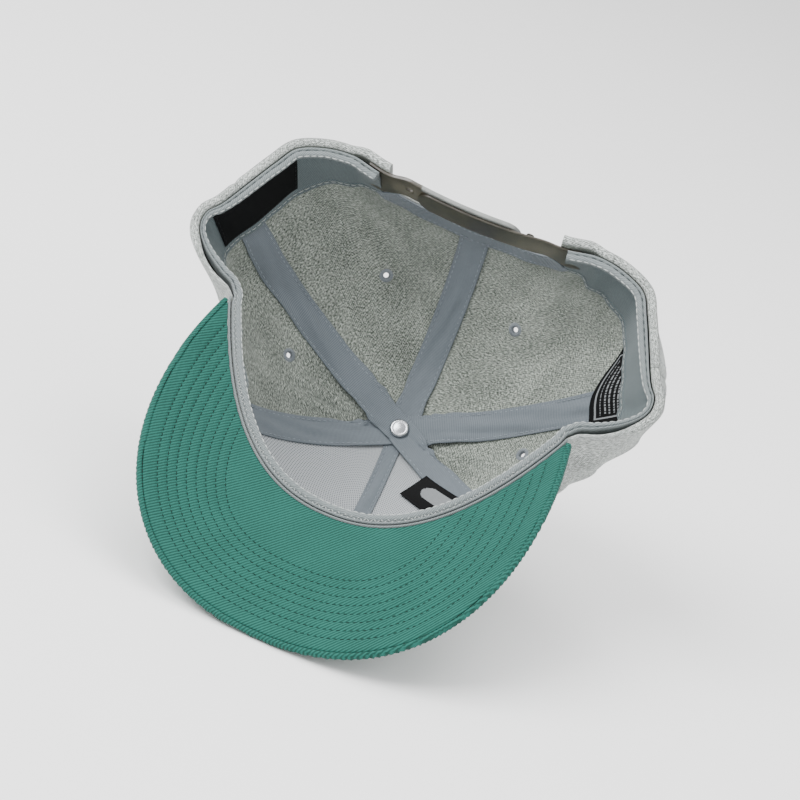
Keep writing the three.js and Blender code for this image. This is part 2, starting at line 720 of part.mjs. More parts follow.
function makePeak() {
  const seat = -underCoverThickness - fit;
  const bottom = -peakThickness;
  const inner = [0, 0.3, 0.6, 0.85].map((share) => ({ share, inside: lipWidth }));
  const rows = (lifts) => [
    ...inner.map((row) => ({ ...row, lift: lifts.plate })),
    { inside: lipWidth, lift: lifts.plate },
    { inside: lipWidth, lift: lifts.lip },
    { inside: 0.9, lift: lifts.lip },
    { inside: 0, lift: lifts.edge },
  ];
  const above = peakRows(rows({ plate: seat, lip: 0, edge: -0.9 }));
  const below = peakRows(rows({ plate: bottom, lip: bottom, edge: bottom }));
  addPiece('peak_upper_cover', slab(above, below), finishes.green());
  const cover = (lift) => peakRows([...inner, { inside: 0 }].map((row) => ({ ...row, inside: lipWidth + fit, lift })));
  addPiece('peak_under_cover', slab(cover(0), cover(-underCoverThickness)), finishes.green());
}

// Closure: two straps across the back opening, sewn in between the cloth and the sweatband
const strapLine = insideCrown(rimDirection(archHalfWidth), 1, clothThickness + strapThickness).y - fit;
const lean = strapLean * degree;
const strapRelease = { from: 0.72, to: 0.97 }; // shares of archHalfWidth over which a strap leaves the cloth

// A point of a strap where it spans the opening: to the side, below its top edge, and out from the inner strap
function spanPoint(x, down, out) {
  const bow = strapBow * (1 - (x / archHalfWidth) ** 2);
  return new THREE.Vector3(
    x,
    strapLine - bow + down * Math.sin(lean) + out * Math.cos(lean),
    -strapTop - down * Math.cos(lean) + out * Math.sin(lean),
  );
}

// The same where it is sewn in: it follows the inside of the cloth
function sewnPoint(x, down, within) {
  const azimuth = Math.sign(x) * rimDirection(Math.abs(x));
  const depth = readRows(profileRows, 'depth', azimuth) * crownDepth;
  const rise = 1 - (strapTop + down) / depth;
  const inside = clothThickness + fit + strapThickness - within;
  return onFacets(azimuth, lerp(domeShare, 1, rise), inside);
}

// A plate from its sewn end to its rounded free end
function strapPlate(side, freeEnd, inner) {
  const half = strapHeight / 2;
  const straight = freeEnd + side * half * 0.7;
  const stations = [1 + strapTab / archHalfWidth, 1.1, 1.02, strapRelease.to, 0.9, 0.84, 0.78, strapRelease.from];
  const inSpan = [0.25, 0.5, 0.75, 1];
  const start = side * archHalfWidth * strapRelease.from;
  const columns = [
    ...stations.map((share) => ({ x: side * archHalfWidth * share, half })),
    ...inSpan.map((share) => ({ x: lerp(start, straight, share), half })),
    ...[20, 40, 60, 78, 88].map((turn) => ({
      x: lerp(straight, freeEnd, Math.sin(turn * degree)),
      half: half * Math.cos(turn * degree),
    })),
  ];
  const point = (column, edge, within) => {
    const down = half - edge * column.half;
    const share = Math.abs(column.x) / archHalfWidth;
    const sewn = THREE.MathUtils.smoothstep(share, strapRelease.from, strapRelease.to);
    const free = spanPoint(column.x, down, inner + within);
    return sewn > 0 ? free.lerp(sewnPoint(column.x, down, within), sewn) : free;
  };
  const face = (within) => [1, 0, -1].map((edge) => columns.map((column) => point(column, edge, within)));
  return toSolid(slab(face(0), face(strapThickness)));
}

// A round pin square to the straps, halfway down them
function strapPin(x, radius, from, to) {
  const middle = spanPoint(x, strapHeight / 2, (from + to) / 2);
  const pin = new THREE.CylinderGeometry(radius, radius, to - from, 10).rotateX(lean);
  return toSolid(pin.translate(middle.x, middle.y, middle.z));
}

const pegPlaces = Array.from({ length: pegCount }, (_, i) => firstPeg + i * pegPitch);

function makeStraps() {
  const outerInside = strapThickness + fit;
  const pegTop = outerInside + strapThickness + pegStandOut;
  const holes = pegPlaces.map((x) => strapPin(x - pegPitch, pegHoleRadius, outerInside - 1, pegTop));
  const outer = strapPlate(-1, outerFreeEnd, outerInside);
  const holed = holes.reduce((solid, hole) => solid.subtract(hole), outer);
  addPiece('strap_with_holes', toGeometry(holed), finishes.plastic());
  const pegs = pegPlaces.map((x) => strapPin(x, pegRadius, strapThickness / 2, pegTop));
  const inner = strapPlate(1, innerFreeEnd, 0);
  addPiece('strap_with_pegs', toGeometry(pegs.reduce((solid, peg) => solid.add(peg), inner)), finishes.plastic());
}

// Hardware
function makeEyelets() {
  for (const row of eyeletRows) addPiece(`eyelet_${row.name}`, eyeletRing(row), finishes.thread());
}

// The height over the button at which a flat disc rests on the top tape's dish
const liningTop = overStiffener + 2 * tapeStep + tapeThickness;
function seatHeight(radius) {
  return Math.max(...azimuthColumns(-180, 180).map((azimuth) => {
    const reach = readRows(profileRows, 'reach', azimuth) * rimHalfWidth;
    const share = (domeShare * Math.asin(radius / reach)) / (Math.PI / 2);
    return onFacets(azimuth, share, liningTop).z + crownDepth;
  }));
}

function makeButton() {
  const seat = seatHeight(rivetRadius) + fit;
  const shankTop = seat - fit;
  const profile = [
    [0, -fit - buttonHeight],
    [buttonRadius * 0.5, -fit - buttonHeight * 0.93],
    [buttonRadius * 0.85, -fit - buttonHeight * 0.65],
    [buttonRadius, -fit - buttonHeight * 0.28],
    [buttonRadius - 0.6, -fit],
    [shankRadius, -fit],
    [shankRadius, shankTop],
    [0, shankTop],
  ];
  const place = (geometry) => geometry.rotateX(Math.PI / 2).translate(0, buttonBack, -crownDepth);
  addPiece('top_button', place(lathe(profile, 18)), finishes.heather());
  const rivet = [
    [0, seat],
    [rivetRadius - 0.4, seat],
    [rivetRadius, seat + 0.5],
    [rivetRadius - 0.5, seat + rivetHeight * 0.7],
    [rivetRadius - 1.6, seat + rivetHeight],
    [0, seat + rivetHeight],
  ];
  addPiece('button_rivet', place(lathe(rivet, 18)), finishes.metal());
}

// Labels: one on the sweatband, one on the front stiffener, one hanging from behind the sweatband
function bandFace(azimuth, down, inward) {
  const top = edgePoint(azimuth, bandThickness, edgeRollHeight + 0.6);
  const middle = top.clone().lerp(hemPoint(azimuth, bandThickness), bandMiddle);
  const hem = hemPoint(azimuth, bandThickness);
  const drop = down * bandDepth - edgeRollHeight - 0.6;
  const share = THREE.MathUtils.clamp(drop / (bandDepth - edgeRollHeight - 0.6), 0, 1);
  const point = share < bandMiddle
    ? top.lerp(middle, share / bandMiddle)
    : middle.lerp(hem, (share - bandMiddle) / (1 - bandMiddle));
  const radius = Math.hypot(point.x, point.y - buttonBack) - inward;
  return polar(azimuth, radius, point.z);
}

function makeLabels() {
  const { from, to, high, low } = bandLabel;
  const columns = azimuthColumns(from, to);
  const middleDown = (edgeRollHeight + 0.6 + bandMiddle * (bandDepth - edgeRollHeight - 0.6)) / bandDepth;
  const face = (inward) => [high, middleDown, low].map((down) => columns.map((at) => bandFace(at, down, inward)));
  addPiece('sweatband_label', slab(face(labelSeat), face(labelSeat + labelThickness)), finishes.label());
  const overTape = (level) => (azimuth, share) => tapeDepth(level, azimuth, share) + tapeThickness + fit;
  const azimuths = frontLabelCorners.map((corner) => corner.azimuth);
  const span = [columnBefore(Math.min(...azimuths)), columnAfter(Math.max(...azimuths)) + azimuthStep];
  const front = crownSheet(...span, 0.1, 0.4, overTape(2), labelThickness);
  const corners = frontLabelCorners.map(({ azimuth, share }) => insideCrown(azimuth, share, overTape(2)(azimuth, share)));
  const outline = toSolid(prism(corners.map((p) => new THREE.Vector2(p.x, p.y)), -cutReach, 0));
  addPiece('front_label', toGeometry(front.intersect(outline)), finishes.label());
  const careSpan = [columnBefore(careLabel.from), columnAfter(careLabel.to)];
  const care = crownSheet(...careSpan, careLabel.low, careLabel.high, overTape(1), labelThickness);
  const wedge = seamWedge(careLabel.from, careLabel.to);
  addPiece('care_label', toGeometry(care.intersect(wedge)), finishes.label());
}

makePanels();
makeStiffeners();
makeTapes();
makeSweatband();
makeBinding();
makePeak();
makeStraps();
makeEyelets();
makeButton();
makeLabels();

// The whole cap tips forward into its rest, and stands on z = 0 with its box centred on the origin
cap.rotation.x = restTilt;
cap.updateMatrixWorld(true);
const bounds = new THREE.Box3().setFromObject(cap, true);
const centre = bounds.getCenter(new THREE.Vector3());
cap.position.set(-centre.x, -centre.y, -bounds.min.z);

export default cap;
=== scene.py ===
# %% [markdown]
# A snapback cap, turned over, seen into its hollow. Every length in the tables below is in millimetres, in
# the cap's own frame: the rim's plane is z = 0, the crown hangs below it and the peak points towards -Y.
# One matrix at the end of each piece tips the cap onto the floor, which keeps the shapes easy to write.

# %% Load the frame
import math

import bmesh
import bpy
import numpy as np
from mathutils import Matrix, Vector


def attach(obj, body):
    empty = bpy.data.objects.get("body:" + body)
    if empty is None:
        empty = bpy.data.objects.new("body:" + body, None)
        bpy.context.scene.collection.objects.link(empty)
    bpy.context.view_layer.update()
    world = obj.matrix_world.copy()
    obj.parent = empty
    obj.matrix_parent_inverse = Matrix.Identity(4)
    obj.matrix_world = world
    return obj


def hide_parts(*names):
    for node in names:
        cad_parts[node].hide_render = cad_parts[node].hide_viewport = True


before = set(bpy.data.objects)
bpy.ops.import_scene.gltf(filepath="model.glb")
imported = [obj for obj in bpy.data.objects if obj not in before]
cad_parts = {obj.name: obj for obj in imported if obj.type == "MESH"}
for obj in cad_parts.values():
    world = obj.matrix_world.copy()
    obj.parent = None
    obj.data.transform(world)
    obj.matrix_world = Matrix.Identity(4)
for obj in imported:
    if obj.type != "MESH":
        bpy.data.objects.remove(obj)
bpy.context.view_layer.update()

# %% [markdown]
# The cap lies on the front of its crown and the tip of its peak. The tilt and the lift put every piece
# there.

# %% Tilt the cap onto the floor
rest_tilt = math.radians(50.5617)
rest_shift = np.array([-0.08, 2.52, 90.13])
tilt_matrix = np.array([
    [1, 0, 0],
    [0, math.cos(rest_tilt), -math.sin(rest_tilt)],
    [0, math.sin(rest_tilt), math.cos(rest_tilt)],
])


def to_world(points):
    """Cap frame in millimetres to the scene in metres."""
    return (np.asarray(points, float) @ tilt_matrix.T + rest_shift) / 1000


# %% [markdown]
# The camera comes first. A real product photograph is taken from far away with a long lens, which keeps the
# cap's proportions. The view direction is given in the cap's frame, where it was measured, and turned with
# the cap.

# %% Place the camera
view_azimuth = math.radians(19.51)
view_height = math.radians(68.87)
view_roll = math.radians(4.78)
view_distance = 1010.2
view_target = np.array([4.58, -6.83, -19.3])
back = np.array([
    math.sin(view_azimuth) * math.cos(view_height),
    -math.cos(view_azimuth) * math.cos(view_height),
    math.sin(view_height),
])
level = np.cross(-back, [0, 0, 1])
level /= np.linalg.norm(level)
rise = np.cross(level, -back)
camera_right = math.cos(view_roll) * level + math.sin(view_roll) * rise
camera_up = -math.sin(view_roll) * level + math.cos(view_roll) * rise
axes = np.stack([tilt_matrix @ camera_right, tilt_matrix @ camera_up, tilt_matrix @ back], axis=1)
camera_data = bpy.data.cameras.new("camera")
camera_data.sensor_width = 36
camera_data.lens = 105.7
camera_data.clip_end = 100
camera = bpy.data.objects.new("camera", camera_data)
bpy.context.scene.collection.objects.link(camera)
camera_matrix = Matrix(axes.tolist()).to_4x4()
camera_matrix.translation = Vector(to_world(view_target + view_distance * back))
camera.matrix_world = camera_matrix
bpy.context.scene.camera = camera
print("camera height above the floor", round(camera_matrix.translation.z, 3), "m")

# %% [markdown]
# The whole crown follows from three short tables: the rim seen from above, the profile at each direction
# round the button, and the soft folds. A table like this can be read off a photograph, and it is quick to
# correct.

# %% Write down the cap's sizes
rim_half_width = 109.2
rim_back = 87.0
crown_depth = 103.5
button_back = 8.7
cloth = 1.6
roll = 3.0
fit = 0.3
peak_end_half = 79.4
peak_inset = 72.9
peak_reach = 67.6
peak_half_width = 87.2
peak_shoulder = 35.0
peak_bend = 160.0
peak_pitch = math.radians(21.3)
under_cover = 1.0
upper_cover = 2.2
lip_width = 1.7
band_depth = 29.0
band_thickness = 1.2
edge_roll_height = 5.0
tape_width = 14.0
arch_half_width = 41.0
arch_height = 41.0
seams = {"front": 3, "front_right": 60, "back_right": 110, "back": 180, "back_left": -112, "front_left": -60}

rim_rows = np.array([
    [0.757, 0.03], [0.8, 0.048], [0.859, 0.087], [0.92, 0.143], [0.978, 0.226], [1.0, 0.305], [0.99, 0.39],
    [0.954, 0.454], [0.892, 0.623], [0.839, 0.768], [0.781, 0.899], [0.663, 0.975], [0.531, 1.0], [0.375, 0.966],
    [0.0, 0.985],
])
profile_rows = np.array([
    # direction, reach, depth, fullness
    [0, 0.797, 0.17, 2.05], [30, 0.77, 0.2, 2.05], [60, 0.751, 0.29, 2.0], [72, 0.753, 0.32, 1.9],
    [80, 0.785, 0.32, 1.7], [88, 0.86, 0.31, 1.5], [97, 0.945, 0.25, 1.45], [104, 1.01, 0.17, 1.42],
    [112, 1.01, 0.14, 1.4], [122, 1.005, 0.12, 1.42], [129, 1.012, 0.12, 1.45], [136, 0.97, 0.14, 1.55],
    [143, 0.893, 0.24, 1.62], [151, 0.82, 0.37, 1.6], [165, 0.79, 0.39, 1.75], [180, 0.768, 0.39, 1.85],
])
fold_rows = [
    # direction, share, turn, length, width, depth
    (-86, 0.72, 0, 0.26, 10, 0.072), (101, 0.72, 0, 0.25, 18, -0.03), (-96, 0.62, 24, 0.2, 6, 0.03),
    (-84, 0.55, 24, 0.18, 7, -0.02), (92, 0.66, -20, 0.18, 7, 0.022), (138, 0.58, 12, 0.2, 8, 0.018),
    (-140, 0.6, -10, 0.2, 8, 0.018),
    (-95, 0.42, 16, 0.16, 5, 0.02), (-103, 0.4, 16, 0.16, 6, -0.014), (-150, 0.55, 8, 0.2, 7, -0.008),
    (125, 0.5, -10, 0.2, 8, -0.008),
]
hem_rows = np.array([
    [0, 0.717], [30, 0.68], [60, 0.645], [80, 0.68], [88, 0.74], [95, 0.845], [102, 0.895], [115, 0.88],
    [128, 0.92], [136, 0.9], [143, 0.858], [152, 0.79], [180, 0.74],
])


# %% Turn the tables into surfaces
def smoothstep(value, low, high):
    share = np.clip((np.asarray(value, float) - low) / (high - low), 0, 1)
    return share * share * (3 - 2 * share)


def bump(value, middle, width):
    """A rounded bump, one high at its middle."""
    return np.exp(-(((value - middle) / width) ** 2))


def unit(vectors):
    return vectors / np.linalg.norm(vectors, axis=-1, keepdims=True)


def grids(*values):
    """The values as arrays of one shape."""
    return np.broadcast_arrays(*(np.asarray(value, float) for value in values))


def shell(far, near):
    """Closed sections between two faces."""
    return np.concatenate([far, near[:, ::-1]], axis=1)


def wrap(azimuth):
    return (np.asarray(azimuth, float) + 180) % 360 - 180


def rearward(azimuth, low, high):
    """Rises from 0 to 1 as a direction turns away from the front."""
    return smoothstep(np.abs(wrap(azimuth)), low, high)


def read_rows(rows, column, azimuth):
    """Reads a table smoothly between its rows."""
    at = np.abs(wrap(azimuth))
    upper = np.clip(np.searchsorted(rows[:, 0], at), 1, len(rows) - 1)
    low, high = rows[upper - 1], rows[upper]
    share = smoothstep(at, low[..., 0], high[..., 0])
    return low[..., column] * (1 - share) + high[..., column] * share


def button_distance(points):
    return np.hypot(points[..., 0], points[..., 1] - button_back)


def dome_reach(azimuth):
    return read_rows(profile_rows, 1, azimuth) * rim_half_width


def dome_depth(azimuth):
    return read_rows(profile_rows, 2, azimuth) * crown_depth


def polar(azimuth, radius, height):
    radius, height, turn = grids(radius, height, np.radians(azimuth))
    return np.stack([radius * np.sin(turn), button_back - radius * np.cos(turn), height], axis=-1)


end_arc = peak_bend * math.asin(peak_end_half / peak_bend)


def peak_point(across, forward, lift):
    """A point of the peak from its flat pattern, raised by lift from the green face."""
    turn = across / peak_bend
    along = forward + peak_inset
    height = peak_bend * (np.cos(end_arc / peak_bend) - np.cos(turn)) + lift * np.cos(turn)
    return np.stack(np.broadcast_arrays(
        peak_bend * np.sin(turn) - lift * np.sin(turn),
        height * math.sin(peak_pitch) - along * math.cos(peak_pitch),
        along * math.sin(peak_pitch) + height * math.cos(peak_pitch),
    ), axis=-1)


def rim_forward(across):
    return -peak_inset * np.abs(across / end_arc) ** 2.29


def centripetal(points):
    """A smooth curve through points that doesn't overshoot at corners."""
    ends = [2 * points[0] - points[1], *points, 2 * points[-1] - points[-2]]
    curve = []
    for a, b, c, d in zip(ends, ends[1:], ends[2:], ends[3:]):
        gaps = [math.sqrt(np.linalg.norm(q - p)) for p, q in ((a, b), (b, c), (c, d))]
        leave = ((b - a) / gaps[0] - (c - a) / (gaps[0] + gaps[1]) + (c - b) / gaps[1]) * gaps[1]
        arrive = ((c - b) / gaps[1] - (d - b) / (gaps[1] + gaps[2]) + (d - c) / gaps[2]) * gaps[1]
        t = np.linspace(0, 1, 24, endpoint=False)[:, None]
        curve.append((2 * t**3 - 3 * t**2 + 1) * b + (t**3 - 2 * t**2 + t) * leave
                     + (3 * t**2 - 2 * t**3) * c + (t**3 - t**2) * arrive)
    return np.concatenate([*curve, [points[-1]]])


def measure_rim():
    across = np.linspace(0, end_arc, 61)
    front = peak_point(across, rim_forward(across), 0)
    rear = np.column_stack([rim_rows * [rim_half_width, rim_back], np.zeros(len(rim_rows))])
    curve = centripetal([front[-1], *rear])[1:]
    points = np.concatenate([front, curve])
    azimuth = np.degrees(np.arctan2(points[:, 0], button_back - points[:, 1]))
    radius = button_distance(points)
    radius[:61] -= fit + 0.1
    return azimuth, radius, points[:, 2]


rim_azimuth, rim_radius, rim_height = measure_rim()


def read_rim(azimuth):
    at = np.abs(wrap(azimuth))
    return np.interp(at, rim_azimuth, rim_radius), np.interp(at, rim_azimuth, rim_height)


dome_share = 0.72


def fold_at(azimuth, share):
    total = 0
    for at, middle, turn, length, width, depth in fold_rows:
        across = wrap(azimuth - at - turn * (share - middle) / length) / width
        along = (share - middle) / length
        total = total + depth * rim_half_width * np.exp(-across**2 - along**2)
    ripple = np.sin(np.radians(azimuth) * 9 + share * 5) * np.sin(share * 11 + np.radians(azimuth) * 4)
    return total + 0.35 * ripple * smoothstep(share, 0.15, 0.4) * (1 - smoothstep(share, 0.8, 0.95))


def crown_form(azimuth, share):
    azimuth, share = grids(azimuth, share)
    radius, height = read_rim(azimuth)
    reach, depth = dome_reach(azimuth), dome_depth(azimuth)
    fullness = read_rows(profile_rows, 3, azimuth)
    spread = np.sin(np.clip(share / dome_share, 0, 1) * math.pi / 2)
    drop = np.clip(1 - spread**fullness, 0, 1) ** (1 / fullness)
    pull = smoothstep(share, dome_share, 1)
    climb = np.clip((share - dome_share) / (1 - dome_share), 0, 1)
    fold = fold_at(azimuth, share)
    above = share > dome_share
    distance = np.where(above, reach + (radius - reach) * pull - fold * (1 - climb), reach * spread - fold)
    level_z = np.where(above, -depth + (height + depth) * climb, -depth - (crown_depth - depth) * drop)
    return polar(azimuth, distance, level_z)


peak_thickness = under_cover + fit + upper_cover
upward = np.array([0, math.sin(rest_tilt), math.cos(rest_tilt)])
floor_level = float(peak_point(np.array(0.0), np.array(peak_reach), -peak_thickness) @ upward)


def crown_point(azimuth, share):
    """The outside of the crown, pressed flat where it rests on the floor."""
    point = crown_form(azimuth, share)
    sunk = floor_level - point @ upward
    return point + np.maximum(sunk, 0)[..., None] * upward


def crown_normal(azimuth, share):
    low = np.maximum(share - 0.01, 0.004)
    high = np.minimum(share + 0.01, 1)
    along = crown_point(azimuth, high) - crown_point(azimuth, low)
    around = crown_point(azimuth + 1, share) - crown_point(azimuth - 1, share)
    calm = (1 - smoothstep(share, 0, 0.13))[..., None]
    return unit(unit(np.cross(along, around)) * (1 - calm) + np.array([0, 0, 1]) * calm)


def inside_crown(azimuth, share, depth):
    """A point at a depth inside the crown's outer face."""
    azimuth, share, depth = grids(azimuth, share, depth)
    return crown_point(azimuth, share) + crown_normal(azimuth, share) * depth[..., None]


def rim_direction(side):
    """The direction at which the rim is this far to the side, behind the peak."""
    sides = rim_radius * np.sin(np.radians(rim_azimuth))
    rear = np.argmax(sides)
    return np.interp(-np.asarray(side, float), -sides[rear:], rim_azimuth[rear:])


print("rim", round(2 * float(rim_radius[0]), 1), "rest level", round(floor_level, 2))

# %% [markdown]
# Two helpers make nearly every mesh. A loft joins a row of closed sections, each with an even number of
# points, and closes its two ends by pairing the section's points. Each mesh keeps a "weave" attribute, the
# place on the cloth in millimetres, so that a weave can follow the cloth and not the room.


# %% Make a mesh from sections
def add_mesh(name, points, faces, weave, finishes, nodes=(), marks=None):
    mesh = bpy.data.meshes.new(name)
    mesh.from_pydata(to_world(points).tolist(), [], faces)
    attribute = mesh.attributes.new("weave", "FLOAT_VECTOR", "POINT")
    attribute.data.foreach_set("vector", np.asarray(weave, np.float32).ravel())
    for finish in finishes:
        mesh.materials.append(finish)
    if marks is not None:
        mesh.polygons.foreach_set("material_index", np.asarray(marks, np.int32))
    mesh.polygons.foreach_set("use_smooth", [True] * len(mesh.polygons))
    piece = bpy.data.objects.new(name, mesh)
    bpy.context.scene.collection.objects.link(piece)
    turned = bmesh.new()
    turned.from_mesh(mesh)
    bmesh.ops.recalc_face_normals(turned, faces=turned.faces)
    turned.to_mesh(mesh)
    turned.free()
    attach(piece, "root")
    if nodes:
        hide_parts(*nodes)
    return piece


def lengths_along(grid, axis):
    steps = np.linalg.norm(np.diff(grid, axis=axis), axis=-1)
    start = np.zeros_like(np.take(steps, [0], axis=axis))
    return np.concatenate([start, np.cumsum(steps, axis=axis)], axis=axis)


def loft(name, sections, finishes, nodes=(), ring=False, mark=None, weave=None):
    """sections: (count, points, 3), each a closed loop with an even number of points."""
    count, size = sections.shape[:2]
    if weave is None:
        along = lengths_along(sections, 0).mean(axis=1, keepdims=True) * np.ones((1, size))
        around = lengths_along(sections, 1)
        weave = np.stack([along, around, np.zeros_like(along)], axis=-1)
    mark_grid = np.broadcast_to(np.zeros(size, int) if mark is None else np.asarray(mark), (count, size))
    faces, marks = [], []
    last = count if ring else count - 1
    for i in range(last):
        for j in range(size):
            following = (j + 1) % size
            a, b = i * size, (i + 1) % count * size
            faces.append((a + j, a + following, b + following, b + j))
            marks.append(int(mark_grid[i, j]))
    if not ring:
        for end in (0, (count - 1) * size):
            for j in range(size // 2 - 1):
                faces.append((end + j, end + j + 1, end + size - 2 - j, end + size - 1 - j))
                marks.append(int(mark_grid[min(end // size, last - 1), j]))
    return add_mesh(name, sections.reshape(-1, 3), faces, weave.reshape(-1, 3), finishes, nodes, marks)


# %% [markdown]
# Stitches are real thread here, because they cast the small shadows that make cloth look sewn. Each is a
# short capsule bent a little into the cloth at both ends, and all stitches of one seam are one mesh.


# %% Sew stitches along a line
def tube_faces(base, rings, sides):
    """The faces of a closed tube whose points start at base."""
    faces = []
    for k in range(rings - 1):
        for j in range(sides):
            a, b = base + k * sides, base + (k + 1) * sides
            faces.append((a + j, a + (j + 1) % sides, b + (j + 1) % sides, b + j))
    faces.append(tuple(base + j for j in range(sides)))
    faces.append(tuple(base + (rings - 1) * sides + j for j in reversed(range(sides))))
    return faces


def sew(name, line, lift, finish, slot, stitch):
    """lift: the direction off the cloth at each point; stitch: its length, gap, radius and depth."""
    length, gap, radius, sink = stitch
    lift = np.broadcast_to(lift, line.shape)
    travelled = lengths_along(line, 0)
    sides, rings = 6, 5
    places = np.arange(0.5, travelled[-1] - length, length + gap)
    points, faces, weave = [], [], []
    for number, start in enumerate(places):
        stops = start + length * np.linspace(0, 1, rings)
        middle = np.stack([np.interp(stops, travelled, line[:, k]) for k in range(3)], axis=-1)
        off = unit(np.stack([np.interp(stops, travelled, lift[:, k]) for k in range(3)], axis=-1))
        bow = np.sin(np.linspace(0, math.pi, rings))
        across = np.cross(unit(middle[-1] - middle[0]), off)
        thick = radius * np.array([0.35, 0.9, 1, 0.9, 0.35])
        base = len(points)
        for k in range(rings):
            centre = middle[k] + off[k] * (bow[k] * radius - sink)
            for turn in np.linspace(0, 2 * math.pi, sides, endpoint=False):
                outward = math.cos(turn) * across[k] + 0.8 * math.sin(turn) * off[k]
                points.append(centre + thick[k] * outward)
                weave.append((stops[k], turn * radius, number))
        faces += tube_faces(base, rings, sides)
    add_mesh(name, np.array(points), faces, np.array(weave), [finish])
    print(name, len(places), "stitches")


# %% [markdown]
# Finishes. Every cloth reads the "weave" attribute, so its ribs have a real pitch in millimetres.


# %% Build the cloth finishes
def new_finish(name, roughness, sheen=0.0, shine=0.15):
    finish = bpy.data.materials.new(name)
    finish.use_nodes = True
    shader = finish.node_tree.nodes["Principled BSDF"]
    shader.inputs["Roughness"].default_value = roughness
    shader.inputs["Sheen Weight"].default_value = sheen
    shader.inputs["Sheen Roughness"].default_value = 0.6
    shader.inputs["Specular IOR Level"].default_value = shine
    return finish, finish.node_tree, shader


def srgb(text):
    values = [int(text[i:i + 2], 16) / 255 for i in (1, 3, 5)]
    return [v / 12.92 if v <= 0.04045 else ((v + 0.055) / 1.055) ** 2.4 for v in values] + [1.0]


def weave_place(tree, turn=0.0, scale=(1, 1, 1)):
    """The place on the cloth in millimetres, turned in degrees and stretched."""
    place = tree.nodes.new("ShaderNodeAttribute")
    place.attribute_name = "weave"
    mapping = tree.nodes.new("ShaderNodeMapping")
    mapping.inputs["Rotation"].default_value[2] = math.radians(turn)
    mapping.inputs["Scale"].default_value = scale
    tree.links.new(place.outputs["Vector"], mapping.inputs["Vector"])
    return mapping.outputs["Vector"]


def noise(tree, place, scale, detail=3.0, rough=0.5):
    node = tree.nodes.new("ShaderNodeTexNoise")
    node.inputs["Scale"].default_value = scale
    node.inputs["Detail"].default_value = detail
    node.inputs["Roughness"].default_value = rough
    tree.links.new(place, node.inputs["Vector"])
    return node.outputs["Fac"]


def waves(tree, place, pitch, wobble=1.0, wobble_scale=1.0):
    """Ribs across the X direction of the place, a rib each pitch millimetres."""
    node = tree.nodes.new("ShaderNodeTexWave")
    node.wave_type = "BANDS"
    node.bands_direction = "X"
    node.inputs["Scale"].default_value = math.pi / 10 / pitch
    node.inputs["Distortion"].default_value = wobble
    node.inputs["Detail"].default_value = 1.0
    node.inputs["Detail Scale"].default_value = wobble_scale
    tree.links.new(place, node.inputs["Vector"])
    return node.outputs["Fac"]


def blend_values(tree, kind, first, second, share=0.5):
    node = tree.nodes.new("ShaderNodeMix")
    node.data_type = "RGBA"
    node.blend_type = kind
    node.inputs["Factor"].default_value = share
    tree.links.new(first, node.inputs[6])
    tree.links.new(second, node.inputs[7])
    return node.outputs[2]


def colours(tree, value, stops):
    ramp = tree.nodes.new("ShaderNodeValToRGB")
    elements = ramp.color_ramp.elements
    for element, (position, text) in zip(elements, (stops[0], stops[-1])):
        element.position = position
        element.color = srgb(text)
    for position, text in stops[1:-1]:
        elements.new(position).color = srgb(text)
    tree.links.new(value, ramp.inputs["Fac"])
    return ramp.outputs["Color"]


def paint(tree, shader, tint, height, distance, strength):
    """Colours the surface and raises it by a height, the distance in millimetres."""
    tree.links.new(tint, shader.inputs["Base Color"])
    relief = tree.nodes.new("ShaderNodeBump")
    relief.inputs["Strength"].default_value = strength
    relief.inputs["Distance"].default_value = distance / 1000
    tree.links.new(height, relief.inputs["Height"])
    tree.links.new(relief.outputs["Normal"], shader.inputs["Normal"])


def heather(name, dark, middle, light, pitch):
    """Dark and light fibres spun together: specks as large as the yarns, in the weave's two directions."""
    finish, tree, shader = new_finish(name, 0.95, 0.15)
    yarn = (0.62 / pitch, 1.25 / pitch, 1)
    warp, weft = (noise(tree, weave_place(tree, turn, yarn), 1.0, 1.5) for turn in (28, -50))
    mix = blend_values(tree, "MIX", warp, weft)
    fine = noise(tree, weave_place(tree), 2.4, 1)
    mix = blend_values(tree, "MIX", mix, fine, 0.2)
    twill = waves(tree, weave_place(tree, 38), pitch, 1.6, 1.4)
    mix = blend_values(tree, "OVERLAY", mix, twill, 0.1)
    patches = noise(tree, weave_place(tree), 0.07, 2)
    mix = blend_values(tree, "SOFT_LIGHT", mix, patches, 0.25)
    tint = colours(tree, mix, [(0.36, dark), (0.5, middle), (0.64, light)])
    paint(tree, shader, tint, mix, 0.5, 0.8)
    return finish


def ribbed(name, low, high, pitch, turn, depth, wobble, roughness, sheen, cloud):
    """A twill: ribs at a pitch and a turn, their relief, and how wavy, rough, soft and patchy it is."""
    finish, tree, shader = new_finish(name, roughness, sheen)
    ribs = waves(tree, weave_place(tree, turn), pitch, wobble, 0.8)
    grain = noise(tree, weave_place(tree, turn, (1, 0.35, 1)), 1.6, 3, 0.6)
    mix = blend_values(tree, "MIX", ribs, grain, 0.45)
    patches = noise(tree, weave_place(tree), 0.06, 2)
    mix = blend_values(tree, "OVERLAY", mix, patches, cloud)
    tint = colours(tree, mix, [(0.25, low), (0.75, high)])
    paint(tree, shader, tint, mix, depth, 0.9)
    return finish


